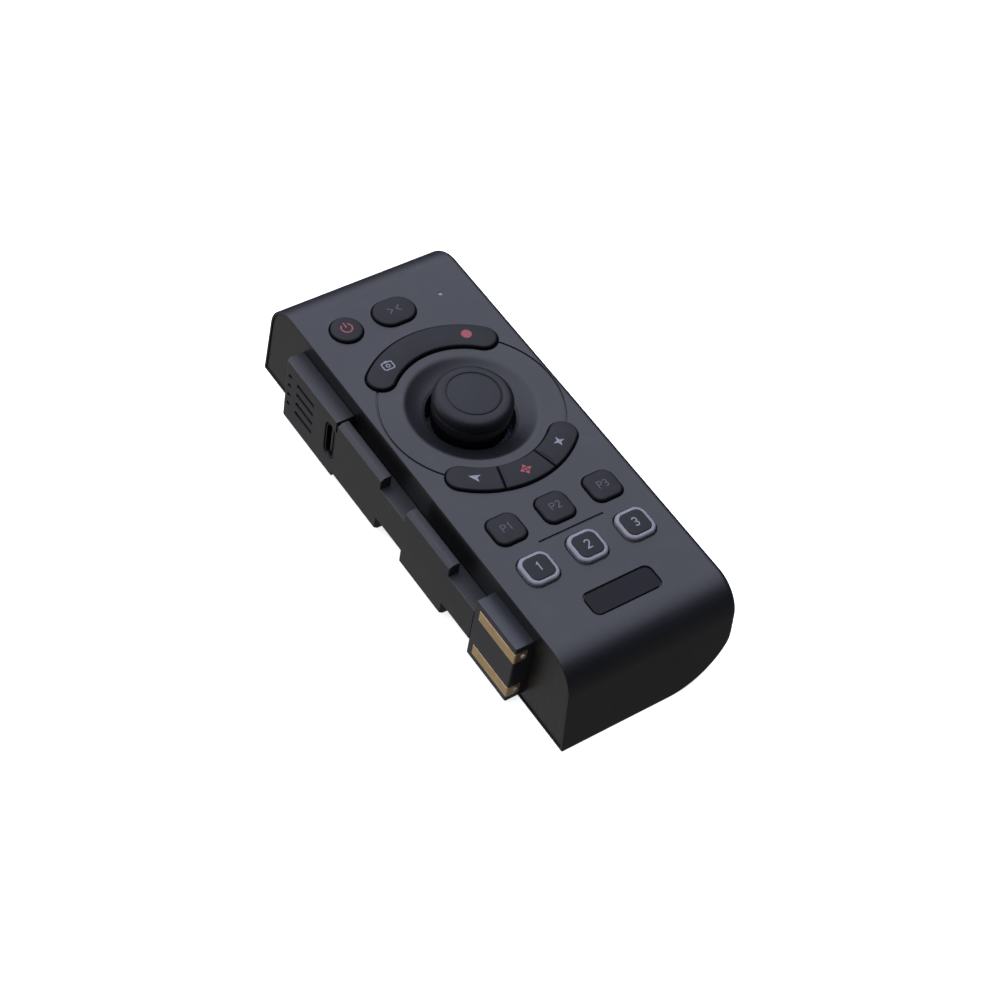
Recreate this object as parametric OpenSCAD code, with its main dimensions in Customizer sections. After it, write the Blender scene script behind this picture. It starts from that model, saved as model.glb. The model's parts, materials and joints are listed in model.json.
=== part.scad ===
// Hand-held joystick controller with a docking rail on its left side.
// X runs across the keypad, Y along it towards the power key, Z up out of the keypad.
// The origin is on the bottom face, straight below the joystick.

/* [Body] */
// Distance from the joystick's axis to the left wall
half_w = 19.6; // [19.2:0.1:20.4]
// Distance from the joystick's axis to the right wall
right_w = 20; // [19.6:0.1:20.8]
// Height from the bottom face to the keypad face
face_z = 22; // [21.5:0.5:24]
// Thickness of the shell
wall = 1.6; // [1.4:0.1:1.8]
// Thickness of the floor
floor_t = 2.4; // [2.2:0.1:2.8]
// Centre of the nose rounding along the body
nose_y = -55.3; // [-58:0.1:-55]
// Radius of the nose rounding
nose_r = 7.6; // [6.5:0.1:8.5]
// Slope of the nose below its rounding, in degrees
nose_slope = 6.7; // [4:0.1:10]
// Centre of the far end's rounding along the body
tail_y = 35.5; // [35:0.1:38]
// Radius of the far end's rounding
tail_r = 7.7; // [6:0.1:8.5]
// Slope of the far end below its rounding, in degrees
tail_slope = 4; // [2:1:6]
// Radius of the rounded grip edge at the bottom right
grip_r = 14.5; // [11:0.5:14.5]

/* [Keys] */
// Distance between key columns
key_pitch = 11.25; // [11:0.05:12]
// Half size of a square key
key_half = 3.35; // [3:0.05:3.6]
// How far a key stands out of the face
key_proud = 0.8; // [0.5:0.1:1.2]
// Gap between a key and its opening
key_gap = 0.2; // [0.15:0.05:0.3]
// Travel of a key
key_travel = 0.7; // [0.4:0.05:0.7]
// Centre of the power and mode keys along the body
power_y = 28.5; // [28:0.1:29]
// Centre of the upper row of square keys along the body
p_row_y = -28.7; // [-30:0.1:-28]
// Centre of the row of number keys along the body
number_row_y = -39.4; // [-41:0.1:-39]
// Centre of the blank badge along the body
badge_y = -50.9; // [-52:0.1:-50]

/* [Joystick] */
// Radius of the line that the arc keys are centred on
ring_r = 18.65; // [18.5:0.05:19]
// Half the width of the arc keys
arc_half = 2.85; // [2.5:0.05:3]
// Outer radius of the dish
dish_r = 13.4; // [12.5:0.1:13.8]
// Radius of the dish's throat
throat_r = 9.0; // [8.9:0.05:9.4]
// Depth of the throat below the face
throat_drop = 2.3; // [2:0.1:2.6]
// Depth of the joystick's pivot below the face
pivot_drop = 3.1; // [3:0.05:3.2]
// Radius of the joystick's dome
dome_r = 7.95; // [7.9:0.05:8]
// Radius of the thumb cap
cap_r = 8.15; // [8:0.05:8.3]

/* [Docking rail] */
// How far the rail stands out from the left wall
rail_out = 3.9; // [3.5:0.1:4.2]
// Far end of the rail along the body
rail_far = 30.9; // [30:0.1:31]
// Near end of the contact block along the body
rail_near = -50.8; // [-52:0.1:-50]

/* [Hidden] */
$fn = 64;
eps = 0.01;

// Outer shell
top_edge_r = 1.5;
far_corner_r = 1.4;
// The sloping end walls start this far inside the rolls they run into
tuck = 0.002;
under_z = face_z - wall;
rim = 0.6;
rim_gap = 0.15;
plate_t = 1.8;
plate_out_x = -half_w + 0.2;
plate_in_x = plate_out_x + plate_t;
body_span = 200;

// Bottom cover
cover_t = 1.4;
cover_x = [-16.9, 4];
cover_y = [-60, 40];
ledge = 1.5;
ledge_end = 5;
cover_gap = 0.15;
screw_r = 0.8;
screw_clear_r = 1.0;
screw_head_r = 1.7;
screw_head_t = 0.9;
post_r = 1.8;
post_top = 7;
cover_screws = [for (x = [-14.3, 1.4], y = [-57.3, 37.3]) [x, y]];

// Keys
flange_t = 0.8;
flange_z = under_z - 0.05 - flange_t;
flange_over = 0.7;
stem_r = 0.9;
key_corner_r = 1.9;
number_half = 3.5;
number_corner_r = 2.2;
number_proud = 1.0;
number_cap_half = 2.7;
number_cap_t = 0.35;
power_r = 3.3;
mode_half = 1.2;
mode_r = 3.4;
columns = [-key_pitch, 0, key_pitch];
arc_cap_angle = 40.5;
arc_split_angle = 15.8;
rocker_gap = 0.35;
rocker_icon_angle = 30;
arc_icon_angle = 31.5;
pin_r = 0.6;
pin_clear = 0.05;
rocker_pivot_z = under_z - 1.4;
ear_t = 1.0;
ear_half = 1.6;
ear_drop = 1.2;
groove_w = 0.3;
groove_d = 0.25;
line_half = 7.5;
line_y = -34.1;
badge_size = [15.3, 5.1];
badge_r = 1.3;
badge_t = 0.6;

// Board stack
pcb_t = 1;
pcb_z = 14;
pcb_x = [-15.8, 16.3];
pcb_y = [-54, 38.2];
pcb_hole_r = 9;
switch_size = [3.6, 3.6, 1.1];
plunger_r = 0.7;
plunger_t = 0.3;
stem_z = pcb_z + pcb_t + switch_size[2] + plunger_t + key_travel + 0.05;
mat_t = 0.5;
mat_z = flange_z - key_travel - 0.4 - mat_t;
mat_bump_t = 0.35;
mat_hole_r = 1.3;
mat_x = 15.4;
mat_y = [-44.6, 33.2];
boss_r = 1.8;
board_bosses = [[-13.6, 35.4], [13.6, 35.4], [-13.6, -48.6], [13.6, -48.6]];
led_x = key_pitch;
led_hole_r = 0.45;

function on_ring(a) = [ring_r * sin(a), ring_r * cos(a)];
rocker_icons = [for (s = [-1, 1]) on_ring(s * rocker_icon_angle)];
arc_icons = [for (s = [-1, 0, 1]) on_ring(180 - s * arc_icon_angle)];
stem_spots = concat(
    [[columns[0], power_y], [columns[1], power_y]],
    arc_icons,
    [for (x = columns) [x, p_row_y]],
    [for (x = columns) [x, number_row_y]]
);

// Joystick
pivot_z = face_z - pivot_drop;
dome_t = 0.7;
cap_z = face_z + 1.1;
cap_top = face_z + 4.3;
cap_rim_r = 6.5;
cap_line_r = 5.5;
cap_crown = 0.5;
cap_shoulder_h = 1.7;
sleeve_z = face_z - 1.8;
sleeve_gap = 0.1;
dome_low = 0.8;
dome_plate_t = 0.4;
yoke_out = 5.2;
yoke_in = 3.9;
yoke_h = 2;
post_x = [5.7, 6.3];
pivot_r = 0.6;
pivot_clear = 0.06;
housing_half = 7.5;
housing_z = [7.6, 13.4];
housing_wall = 1.2;
shaft_r = 1.5;
tail_tip_z = 12.4;
spring_r = 4.6;
spring_wire = 0.35;

// Docking rail
rail_x = -half_w - rail_out;
pod_near = 11.7;
pod_z = [1.5, 17.7];
pod_corner_r = 1;
pod_hollow_y = [18, 29.4];
pod_hollow_z = [3.2, 16.2];
core_z = [5.9, 14.8];
lug_z = [2, 17.7];
lug_t = 2.5;
upper_lugs = [[-4.6, pod_near - 0.4], [-28.6, -13.4]];
lower_lugs = [[-4.4, pod_near + 0.5], [-28, -13.5]];
block_y = [rail_near, -37.6];
block_z = [1.7, 18.3];
pod_wall = 1.2;
vent_y = [19.9, 26.2];
vent_corner_y = [28.3, 29.4];
vent_h = 1;
vent_z = 10.1;
vent_pitch = 2.65;
vent_count = 4;
port_y = 13.6;
port_z = 10.4;
port_size = [3.5, 9.6];
socket_size = [3.2, 9.2];
socket_wall = 0.3;
socket_in_x = -16;
socket_out_x = rail_x + 0.2;
strip_t = 0.4;
strip_w = 2.8;
strip_far = -39.2;
strip_z = [4.7, 15.4];
strip_proud = 0.05;
strip_wrap = 3;
rail_screws_y = [4, -9, -33];
lead_y = -45;
board_x = [plate_in_x + 0.2, plate_in_x + 1.2];

// Outline of the side of the body, moved in by d at the ends and top and by base at the bottom
module side_outline(d = 0, base = 0) {
    nr = nose_r - d;
    tr = tail_r - d;
    nt = [nose_y - (nr - tuck) * cos(nose_slope), face_z - nose_r + (nr - tuck) * sin(nose_slope)];
    tt = [tail_y + (tr - tuck) * cos(tail_slope), face_z - tail_r + (tr - tuck) * sin(tail_slope)];
    nose_base = nt[0] - (nt[1] - base) * tan(nose_slope);
    tail_base = tt[0] + (tt[1] - base) * tan(tail_slope);
    polygon([
        [nose_base, base], [tail_base, base], tt, [tail_y, face_z - tail_r],
        [tail_y, face_z - d], [nose_y, face_z - d], [nose_y, face_z - nose_r], nt
    ]);
    translate([nose_y, face_z - nose_r]) circle(nr);
    translate([tail_y, face_z - tail_r]) circle(tr);
}

// Stands an outline drawn in Y and Z along X, from x0 to x1
module along_x(x0, x1) {
    translate([x0, 0, 0]) rotate([90, 0, 90]) linear_extrude(x1 - x0) children();
}

// Cross-section of the body, moved in by d, with its bottom at base
module cross_outline(d = 0, base = 0) {
    right = right_w - d;
    top = face_z - d;
    er = max(top_edge_r - d, 0);
    gr = grip_r - d;
    difference() {
        translate([-half_w - d, base]) square([half_w + d + right, top - base]);
        translate([right_w - grip_r, -1]) square([grip_r + 1, grip_r + 1]);
        translate([right - er, top - er]) square(er + 1);
    }
    intersection() {
        translate([right_w - grip_r, grip_r]) circle(gr);
        translate([right_w - grip_r - 1, base]) square([grip_r + 2, grip_r + 1]);
    }
    if (er > 0) translate([right - er, top - er]) circle(er);
}

// Stands an outline drawn in X and Z along Y over the whole body
module along_y() {
    translate([0, body_span / 2, 0]) rotate([90, 0, 0]) linear_extrude(body_span) children();
}

// Everything outside the rounded far right corner, seen from above
module far_corner_waste() {
    cx = right_w - far_corner_r;
    cy = tail_y + tail_r + 0.6 - far_corner_r;
    difference() {
        translate([cx, cy, -1]) cube([far_corner_r + 2, far_corner_r + 4, face_z + 2]);
        translate([cx, cy, -2]) cylinder(r = far_corner_r, h = face_z + 4);
    }
}

module outer_form() {
    difference() {
        intersection() {
            along_x(-half_w, right_w + 1) side_outline();
            along_y() cross_outline();
        }
        far_corner_waste();
    }
}

module inner_form() {
    intersection() {
        along_x(-half_w - 1, right_w) side_outline(wall, floor_t);
        along_y() cross_outline(wall, floor_t);
    }
}

// Rectangle with true round corners, by its half sizes
module round_rect(hx, hy, r) {
    square([2 * hx, 2 * (hy - r)], center = true);
    square([2 * (hx - r), 2 * hy], center = true);
    for (x = [-1, 1], y = [-1, 1]) translate([x * (hx - r), y * (hy - r)]) circle(r);
}

// Slot of half length a between its end centres and radius r, along X
module stadium(a, r) {
    square([2 * a, 2 * r], center = true);
    for (x = [-a, a]) translate([x, 0]) circle(r);
}

// Stretch of ring between two angles from +Y; a round end adds a half disc past its angle
module arc_band(half, a0, a1, round0, round1) {
    far = 3 * ring_r;
    intersection() {
        difference() {
            circle(ring_r + half);
            circle(ring_r - half);
        }
        polygon([
            [0, 0], [far * sin(a0), far * cos(a0)],
            [far * sin((a0 + a1) / 2), far * cos((a0 + a1) / 2)], [far * sin(a1), far * cos(a1)]
        ]);
    }
    if (round0) translate(on_ring(a0)) circle(half);
    if (round1) translate(on_ring(a1)) circle(half);
}

// Angle that a length spans on the ring
function ring_angle(length) = length / ring_r * 180 / PI;

split = ring_angle(key_gap / 2);
lower_arcs = [
    [180 + arc_split_angle + split, 180 + arc_cap_angle, false, true],
    [180 - arc_split_angle + split, 180 + arc_split_angle - split, false, false],
    [180 - arc_cap_angle, 180 - arc_split_angle - split, true, false]
];

module lower_arc_outline(i, grow = 0) {
    a = lower_arcs[i];
    arc_band(arc_half + grow, a[0], a[1], a[2], a[3]);
}

// Raises an outline from z0 to z1
module raise(z0, z1) {
    translate([0, 0, z0]) linear_extrude(z1 - z0) children();
}

module stem(spot, bottom = stem_z) {
    translate([spot[0], spot[1], bottom]) cylinder(r = stem_r, h = flange_z + eps - bottom);
}

// Pin of radius r along Y through [x, z]
module pin_y(x, z, r, y0, y1) {
    translate([x, y1, z]) rotate([90, 0, 0]) cylinder(r = r, h = y1 - y0);
}

// Pin of radius r along X through [y, z]
module pin_x(y, z, r, x0, x1) {
    translate([x0, y, z]) rotate([0, 90, 0]) cylinder(r = r, h = x1 - x0);
}

// Openings that the keys move in
module key_openings() {
    raise(under_z - 3, face_z + 1) {
        translate([columns[0], power_y]) circle(power_r + key_gap);
        translate([columns[1], power_y]) stadium(mode_half, mode_r + key_gap);
        arc_band(arc_half + rocker_gap, -arc_cap_angle, arc_cap_angle, true, true);
        arc_band(arc_half + key_gap, 180 - arc_cap_angle, 180 + arc_cap_angle, true, true);
        for (x = columns) translate([x, p_row_y])
            round_rect(key_half + key_gap, key_half + key_gap, key_corner_r + key_gap);
        for (x = columns) translate([x, number_row_y])
            round_rect(number_half + key_gap, number_half + key_gap, number_corner_r + key_gap);
    }
}

// The joystick's dish: a concave ring below the face, down to the throat
module dish() {
    steps = 8;
    dish_z = face_z - throat_drop;
    bowl = [for (i = [0 : steps]) let (u = i / steps)
        [dish_r + (throat_r - dish_r) * u, face_z - throat_drop * (u + sin(90 * u)) / 2]];
    rotate_extrude() polygon(concat(
        [[dish_r + 1.4, face_z], [dish_r + 1.4, under_z - 0.4], [throat_r + 1.6, dish_z - 1.2],
        [throat_r, dish_z - 1.2]],
        [for (i = [0 : steps]) bowl[steps - i]]
    ));
}

// Lines pressed into the face: the ring, the short rule and the badge's pocket
module face_marks() {
    translate([0, 0, face_z - groove_d]) rotate_extrude()
        translate([ring_r - groove_w / 2, 0]) square([groove_w, groove_d + 1]);
    translate([-line_half, line_y - groove_w / 2, face_z - groove_d])
        cube([2 * line_half, groove_w, groove_d + 1]);
    raise(face_z - badge_t, face_z + 1) translate([0, badge_y])
        round_rect(badge_size[0] / 2 + key_gap, badge_size[1] / 2 + key_gap, badge_r + key_gap);
}

// Lugs under the face that carry the rocker's pin
module rocker_ears() {
    for (y = [ring_r - arc_half - rocker_gap - ear_t, ring_r + arc_half + rocker_gap])
        translate([-ear_half, y, rocker_pivot_z - ear_drop])
            cube([2 * ear_half, ear_t, under_z + 0.5 - rocker_pivot_z + ear_drop]);
}

module cover_outline(d) {
    translate([cover_x[0] - d, cover_y[0] - d])
        square([cover_x[1] - cover_x[0] + 2 * d, cover_y[1] - cover_y[0] + 2 * d]);
}

module wrap_shell() {
    color("#484b55") difference() {
        union() {
            difference() {
                outer_form();
                inner_form();
                along_x(-half_w - 1, plate_in_x) side_outline(rim, rim);
                translate([0, 0, under_z - 1]) cylinder(r = dish_r + 0.5, h = wall + 2);
            }
            dish();
            rocker_ears();
            for (p = board_bosses) translate([p[0], p[1], pcb_z + pcb_t])
                cylinder(r = boss_r, h = under_z + 0.2 - pcb_z - pcb_t);
            for (p = cover_screws) translate([p[0], p[1], cover_t])
                cylinder(r = post_r, h = post_top - cover_t);
        }
        key_openings();
        face_marks();
        translate([led_x, power_y, under_z - 1]) cylinder(r = led_hole_r, h = wall + 2);
        raise(-1, cover_t) cover_outline(cover_gap);
        raise(-1, floor_t + 1) translate([cover_x[0] + ledge, cover_y[0] + ledge + ledge_end])
            square([
                cover_x[1] - cover_x[0] - 2 * ledge,
                cover_y[1] - cover_y[0] - 2 * (ledge + ledge_end)
            ]);
        for (p = cover_screws) translate([p[0], p[1], 0]) cylinder(r = screw_r, h = post_top - 0.5);
        for (p = board_bosses) translate([p[0], p[1], pcb_z]) cylinder(r = screw_r, h = 4.5);
        pin_y(0, rocker_pivot_z, pin_r, ring_r - 5, ring_r + 5);
    }
}

module side_plate() {
    color("#3c3d42") difference() {
        along_x(plate_out_x, plate_in_x) side_outline(rim + rim_gap, rim + rim_gap);
        along_x(plate_out_x - 1, plate_in_x + 1) translate([port_y, port_z])
            rotate(90) stadium((port_size[1] - port_size[0]) / 2, port_size[0] / 2);
        pin_x(24.5, port_z, 1.5, plate_out_x - 1, plate_in_x + 1);
        for (y = rail_screws_y) pin_x(y, port_z, screw_clear_r, plate_out_x - 1, plate_in_x + 1);
        for (z = strip_z) pin_x(lead_y, z, 0.6, plate_out_x - 1, plate_in_x + 1);
    }
}

module base_cover() {
    color("#34353a") difference() {
        raise(0, cover_t) cover_outline(0);
        for (p = cover_screws) translate([p[0], p[1], -1]) cylinder(r = screw_clear_r, h = cover_t + 2);
        for (p = cover_screws) translate([p[0], p[1], -1])
            cylinder(r = screw_head_r + 0.1, h = screw_head_t + 0.1 + 1);
    }
}

// Pan-head screw standing on its head at z0, with a cross slot
module screw_up(z0, head_r, head_t, shank_r, length) {
    difference() {
        translate([0, 0, z0]) cylinder(r = head_r, h = head_t);
        for (a = [0, 90]) rotate(a) translate([-head_r * 0.6, -0.2, z0 - 1])
            cube([head_r * 1.2, 0.4, 1 + head_t * 0.5]);
    }
    translate([0, 0, z0 + head_t - eps]) cylinder(r = shank_r, h = length);
}

module base_screws() {
    color("#1c1c1e") for (p = cover_screws) translate([p[0], p[1], 0])
        screw_up(0.1, screw_head_r, screw_head_t, screw_r - 0.02, 5);
}

module badge() {
    color("#3f424b") raise(face_z - badge_t, face_z) translate([0, badge_y])
        round_rect(badge_size[0] / 2, badge_size[1] / 2, badge_r);
}

module power_key() {
    spot = [columns[0], power_y];
    color("#33353c") {
        raise(flange_z, face_z + key_proud) translate(spot) circle(power_r);
        raise(flange_z, flange_z + flange_t) translate(spot) circle(power_r + flange_over);
        stem(spot);
    }
}

module mode_key() {
    spot = [columns[1], power_y];
    color("#33353c") {
        raise(flange_z, face_z + key_proud) translate(spot) stadium(mode_half, mode_r);
        raise(flange_z, flange_z + flange_t) translate(spot) stadium(mode_half, mode_r + flange_over);
        stem(spot);
    }
}

module rocker_key() {
    color("#33353c") difference() {
        union() {
            raise(under_z - 0.8, face_z + key_proud)
                arc_band(arc_half, -arc_cap_angle, arc_cap_angle, true, true);
            pin_y(0, rocker_pivot_z, 1.3, ring_r - arc_half + 0.1, ring_r + arc_half - 0.1);
            translate([-1.3, ring_r - arc_half + 0.1, rocker_pivot_z])
                cube([2.6, 2 * arc_half - 0.2, under_z - rocker_pivot_z]);
            for (p = rocker_icons) stem(p, stem_z - 0.2);
            for (p = rocker_icons) translate([p[0], p[1], flange_z])
                cylinder(r = stem_r, h = under_z - flange_z);
        }
        pin_y(0, rocker_pivot_z, pin_r + pin_clear, ring_r - 5, ring_r + 5);
    }
}

module rocker_pin() {
    reach = arc_half + rocker_gap + ear_t;
    color("silver") pin_y(0, rocker_pivot_z, pin_r, ring_r - reach, ring_r + reach);
}

module lower_arc_key(i) {
    color("#33353c") {
        raise(flange_z, face_z + key_proud) lower_arc_outline(i);
        raise(flange_z, flange_z + flange_t) lower_arc_outline(i, flange_over);
        stem(arc_icons[i]);
    }
}
module arc_key_left() { lower_arc_key(0); }
module arc_key_centre() { lower_arc_key(1); }
module arc_key_right() { lower_arc_key(2); }

module square_key(spot, half, corner, top) {
    raise(flange_z, top) translate(spot) round_rect(half, half, corner);
    raise(flange_z, flange_z + flange_t) translate(spot)
        round_rect(half + flange_over, half + flange_over, corner + flange_over);
    stem(spot);
}
module p_key(i) {
    color("#33353c") square_key([columns[i], p_row_y], key_half, key_corner_r, face_z + key_proud);
}
module p_key_1() { p_key(0); }
module p_key_2() { p_key(1); }
module p_key_3() { p_key(2); }

module number_key(i) {
    color("#aeb0b8") square_key([columns[i], number_row_y], number_half, number_corner_r,
        face_z + number_proud - number_cap_t);
}
module number_key_1() { number_key(0); }
module number_key_2() { number_key(1); }
module number_key_3() { number_key(2); }

module number_cap(i) {
    color("#33353c") raise(face_z + number_proud - number_cap_t, face_z + number_proud)
        translate([columns[i], number_row_y])
        round_rect(number_cap_half, number_cap_half, number_corner_r - number_half + number_cap_half);
}
module number_cap_1() { number_cap(0); }
module number_cap_2() { number_cap(1); }
module number_cap_3() { number_cap(2); }

// Silicone sheet with a raised pad round each stem
module keymat() {
    color("#8d9096") difference() {
        union() {
            translate([-mat_x, mat_y[0], mat_z]) cube([2 * mat_x, mat_y[1] - mat_y[0], mat_t]);
            for (p = stem_spots) translate([p[0], p[1], mat_z])
                cylinder(r = mat_hole_r + 0.8, h = mat_t + mat_bump_t);
        }
        translate([0, 0, mat_z - 1]) cylinder(r = ring_r - arc_half - 0.6, h = 3);
        translate([-2.4, 13, mat_z - 1]) cube([4.8, 11, 3]);
        for (p = concat(stem_spots, rocker_icons, [[led_x, power_y]]))
            translate([p[0], p[1], mat_z - 1]) cylinder(r = mat_hole_r, h = 3);
    }
}

module tact_switches() {
    z = pcb_z + pcb_t;
    color("#b9bcc0") for (p = concat(stem_spots, rocker_icons)) {
        translate([p[0] - switch_size[0] / 2, p[1] - switch_size[1] / 2, z]) cube(switch_size);
        translate([p[0], p[1], z]) cylinder(r = plunger_r, h = switch_size[2] + plunger_t);
    }
}

module chip(spot, size) {
    translate([spot[0] - size[0] / 2, spot[1] - size[1] / 2, pcb_z + pcb_t]) cube(size);
}
module key_leds() { color("white") for (x = columns) chip([x + 3.2, number_row_y], [1.6, 0.8, 0.6]); }
module status_led() { color("white") chip([led_x, power_y], [1.6, 0.8, 0.7]); }

module light_pipe() {
    foot_z = pcb_z + pcb_t + 1.1;
    color("#dfe4e8") translate([led_x, power_y, foot_z]) {
        cylinder(r = led_hole_r - 0.03, h = face_z - 0.15 - foot_z);
        cylinder(r = 0.9, h = under_z - 0.05 - foot_z);
    }
}

module main_pcb() {
    color("#1f5a3a") difference() {
        translate([pcb_x[0], pcb_y[0], pcb_z]) cube([pcb_x[1] - pcb_x[0], pcb_y[1] - pcb_y[0], pcb_t]);
        translate([0, 0, pcb_z - 1]) cylinder(r = pcb_hole_r, h = 3);
        for (p = board_bosses) translate([p[0], p[1], pcb_z - 1]) cylinder(r = screw_clear_r, h = 3);
    }
}

module pcb_screws() {
    color("#c4c6ca") for (p = board_bosses) translate([p[0], p[1], 0])
        screw_up(pcb_z - 0.9, screw_head_r, 0.9, screw_r - 0.02, 4.4);
}

module radio_shield() {
    color("#c4c6ca") difference() {
        translate([-8, 13, pcb_z - 2.4]) cube([16, 18, 2.4]);
        translate([-7.8, 13.2, pcb_z - 2.2]) cube([15.6, 17.6, 3]);
    }
}

module antenna() { color("#b8863c") translate([right_w - wall - 0.5, -20, 15.5]) cube([0.3, 40, 3.2]); }

module joystick_housing() {
    color("#2a2a2c") difference() {
        union() {
            translate([-housing_half, -housing_half, housing_z[0]])
                cube([2 * housing_half, 2 * housing_half, housing_z[1] - housing_z[0]]);
            for (s = [-1, 1]) translate([s > 0 ? post_x[0] : -post_x[1], -1.6, housing_z[1] - 1])
                cube([post_x[1] - post_x[0], 3.2, pivot_z + 1.1 - housing_z[1] + 1]);
        }
        translate([0, 0, housing_z[0] + housing_wall]) cylinder(r = post_x[0] - 0.1, h = 20);
        pin_x(0, pivot_z, pivot_r + pivot_clear, -post_x[1] - 1, post_x[1] + 1);
    }
}

module gimbal_yoke() {
    color("#d8d5cc") difference() {
        union() {
            translate([0, 0, pivot_z - yoke_h / 2]) cylinder(r = yoke_out, h = yoke_h);
            pin_x(0, pivot_z, pivot_r, -post_x[1], post_x[1]);
        }
        translate([0, 0, pivot_z - yoke_h]) cylinder(r = yoke_in, h = 2 * yoke_h);
        pin_y(0, pivot_z, pivot_r + pivot_clear, -yoke_out - 1, yoke_out + 1);
    }
}

module joystick_shaft() {
    color("silver") {
        translate([0, 0, 15.4]) cylinder(r = shaft_r, h = cap_z + 1.5 - 15.4);
        translate([0, 0, tail_tip_z]) cylinder(r = 0.8, h = 16 - tail_tip_z);
        pin_y(0, pivot_z, pivot_r, -yoke_out + 0.2, yoke_out - 0.2);
    }
}

// Thin spherical skirt about the pivot with a straight sleeve round its upper half,
// closed on top by the plate that the cap sits on
module joystick_dome() {
    top = cap_z - pivot_z;
    low = sleeve_z - pivot_z;
    mid_r = dome_r - dome_t / 2;
    color("#1d1e22") translate([0, 0, pivot_z]) rotate_extrude() {
        intersection() {
            difference() {
                circle(dome_r);
                circle(dome_r - dome_t);
            }
            translate([0, -dome_low]) square([dome_r + 1, top + dome_low]);
        }
        difference() {
            translate([shaft_r, low]) square([cap_r - sleeve_gap - shaft_r, top - low]);
            circle(mid_r);
        }
        translate([shaft_r, top - dome_plate_t])
            square([sqrt(mid_r * mid_r - top * top) - shaft_r, dome_plate_t]);
    }
}

// Height of the cap's crowned top at a radius
function cap_height(r) = cap_top - cap_crown * pow(r / cap_rim_r, 2);

// Thumb cap with a rounded shoulder, a fine ring line and a crowned top
module joystick_cap() {
    steps = 6;
    rim_z = cap_height(cap_rim_r);
    foot = 0.2;
    edge = [for (i = [0 : steps]) let (a = 90 * i / steps)
        [cap_rim_r + (cap_r - cap_rim_r) * cos(a), rim_z + cap_shoulder_h * (sin(a) - 1)]];
    line_in = cap_line_r - groove_w / 2;
    line_out = cap_line_r + groove_w / 2;
    line_z = cap_height(cap_line_r) - groove_d;
    line = [[line_out, cap_height(line_out)], [line_out, line_z], [line_in, line_z]];
    crown = [for (i = [0 : steps]) let (r = line_in * (1 - i / steps)) [r, cap_height(r)]];
    color("#26272c") difference() {
        rotate_extrude() polygon(concat(
            [[0, cap_z], [cap_r - foot, cap_z], [cap_r, cap_z + foot]], edge, line, crown
        ));
        translate([0, 0, cap_z - 1]) cylinder(r = shaft_r, h = 2.5);
    }
}

// Coil spring swept along a helix, a ring of points at each step
module centring_spring() {
    turns = 4;
    per_turn = 16;
    sides = 6;
    z0 = housing_z[0] + housing_wall + spring_wire;
    rise = 3;
    count = turns * per_turn;
    points = [for (i = [0 : count], k = [0 : sides - 1])
        let (a = 360 * i / per_turn, b = 360 * k / sides, r = spring_r + spring_wire * cos(b))
        [r * cos(a), r * sin(a), z0 + rise * i / count + spring_wire * sin(b)]];
    walls = [for (i = [0 : count - 1], k = [0 : sides - 1])
        let (n = (k + 1) % sides)
        [i * sides + k, (i + 1) * sides + k, (i + 1) * sides + n, i * sides + n]];
    color("silver") polyhedron(points, concat(
        walls, [[for (k = [0 : sides - 1]) k]], [[for (k = [sides - 1 : -1 : 0]) count * sides + k]]
    ));
}

module axis_sensors() {
    color("#3a5f8a") {
        translate([housing_half, -4, 8]) cube([2.2, 8, 5.2]);
        translate([-4, -housing_half - 2.2, 8]) cube([8, 2.2, 5.2]);
    }
}

module battery() {
    color("#8f9398") translate([-14.8, -53, floor_t + 0.2]) cube([18.6, 41, 9.6]);
}

module battery_connector() {
    color("ivory") translate([8, -30, pcb_z - 3]) cube([5, 6, 3]);
}

// Block with one rounded upright corner at its far outer side
module pod_form() {
    r = pod_corner_r;
    w = plate_out_x - rail_x;
    raise(pod_z[0], pod_z[1]) translate([rail_x, 0]) {
        translate([0, pod_near]) square([w, rail_far - pod_near - r]);
        translate([r, pod_near]) square([w - r, rail_far - pod_near]);
        translate([r, rail_far - r]) circle(r);
    }
}

// Lug of the rail, chamfered along its outer edge, from y0 to y1
module lug(span, z_inner, z_outer) {
    s = sign(z_outer - z_inner);
    translate([0, span[1], 0]) rotate([90, 0, 0]) linear_extrude(span[1] - span[0]) polygon([
        [rail_x, z_inner], [rail_x + lug_t, z_inner], [rail_x + lug_t, z_outer],
        [rail_x + 0.9, z_outer], [rail_x, z_outer - s * 0.7]
    ]);
}

module vent_slots() {
    for (i = [0 : vent_count - 1]) for (y = [vent_y, vent_corner_y])
        translate([rail_x - 1, y[0], port_z + 3.7 - i * vent_pitch - vent_h / 2])
            cube([pod_wall + 2, y[1] - y[0], vent_h]);
}

module dock_rail() {
    color("#3a3b40") difference() {
        union() {
            pod_form();
            translate([rail_x, block_y[1], core_z[0]])
                cube([plate_out_x - rail_x, pod_near + eps - block_y[1], core_z[1] - core_z[0]]);
            for (span = upper_lugs) lug(span, core_z[1] - eps, lug_z[1]);
            for (span = lower_lugs) lug(span, core_z[0] + eps, lug_z[0]);
        }
        translate([rail_x + pod_wall, pod_hollow_y[0], pod_hollow_z[0]])
            cube([10, pod_hollow_y[1] - pod_hollow_y[0], pod_hollow_z[1] - pod_hollow_z[0]]);
        vent_slots();
        along_x(rail_x - 1, plate_out_x + 1) translate([port_y, port_z])
            rotate(90) stadium((port_size[1] - port_size[0]) / 2, port_size[0] / 2);
        for (y = rail_screws_y) pin_x(y, port_z, screw_r, rail_x + 1.4, plate_out_x + 1);
    }
}

// Angled strip: one leg on the block's outer face, one on its near end
module strip_form(z, proud) {
    x0 = rail_x - proud;
    y0 = rail_near - proud;
    translate([x0, y0, z - strip_w / 2]) cube([strip_t + proud, strip_far - y0, strip_w]);
    translate([x0, y0, z - strip_w / 2]) cube([strip_wrap + proud, strip_t + proud, strip_w]);
}

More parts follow.
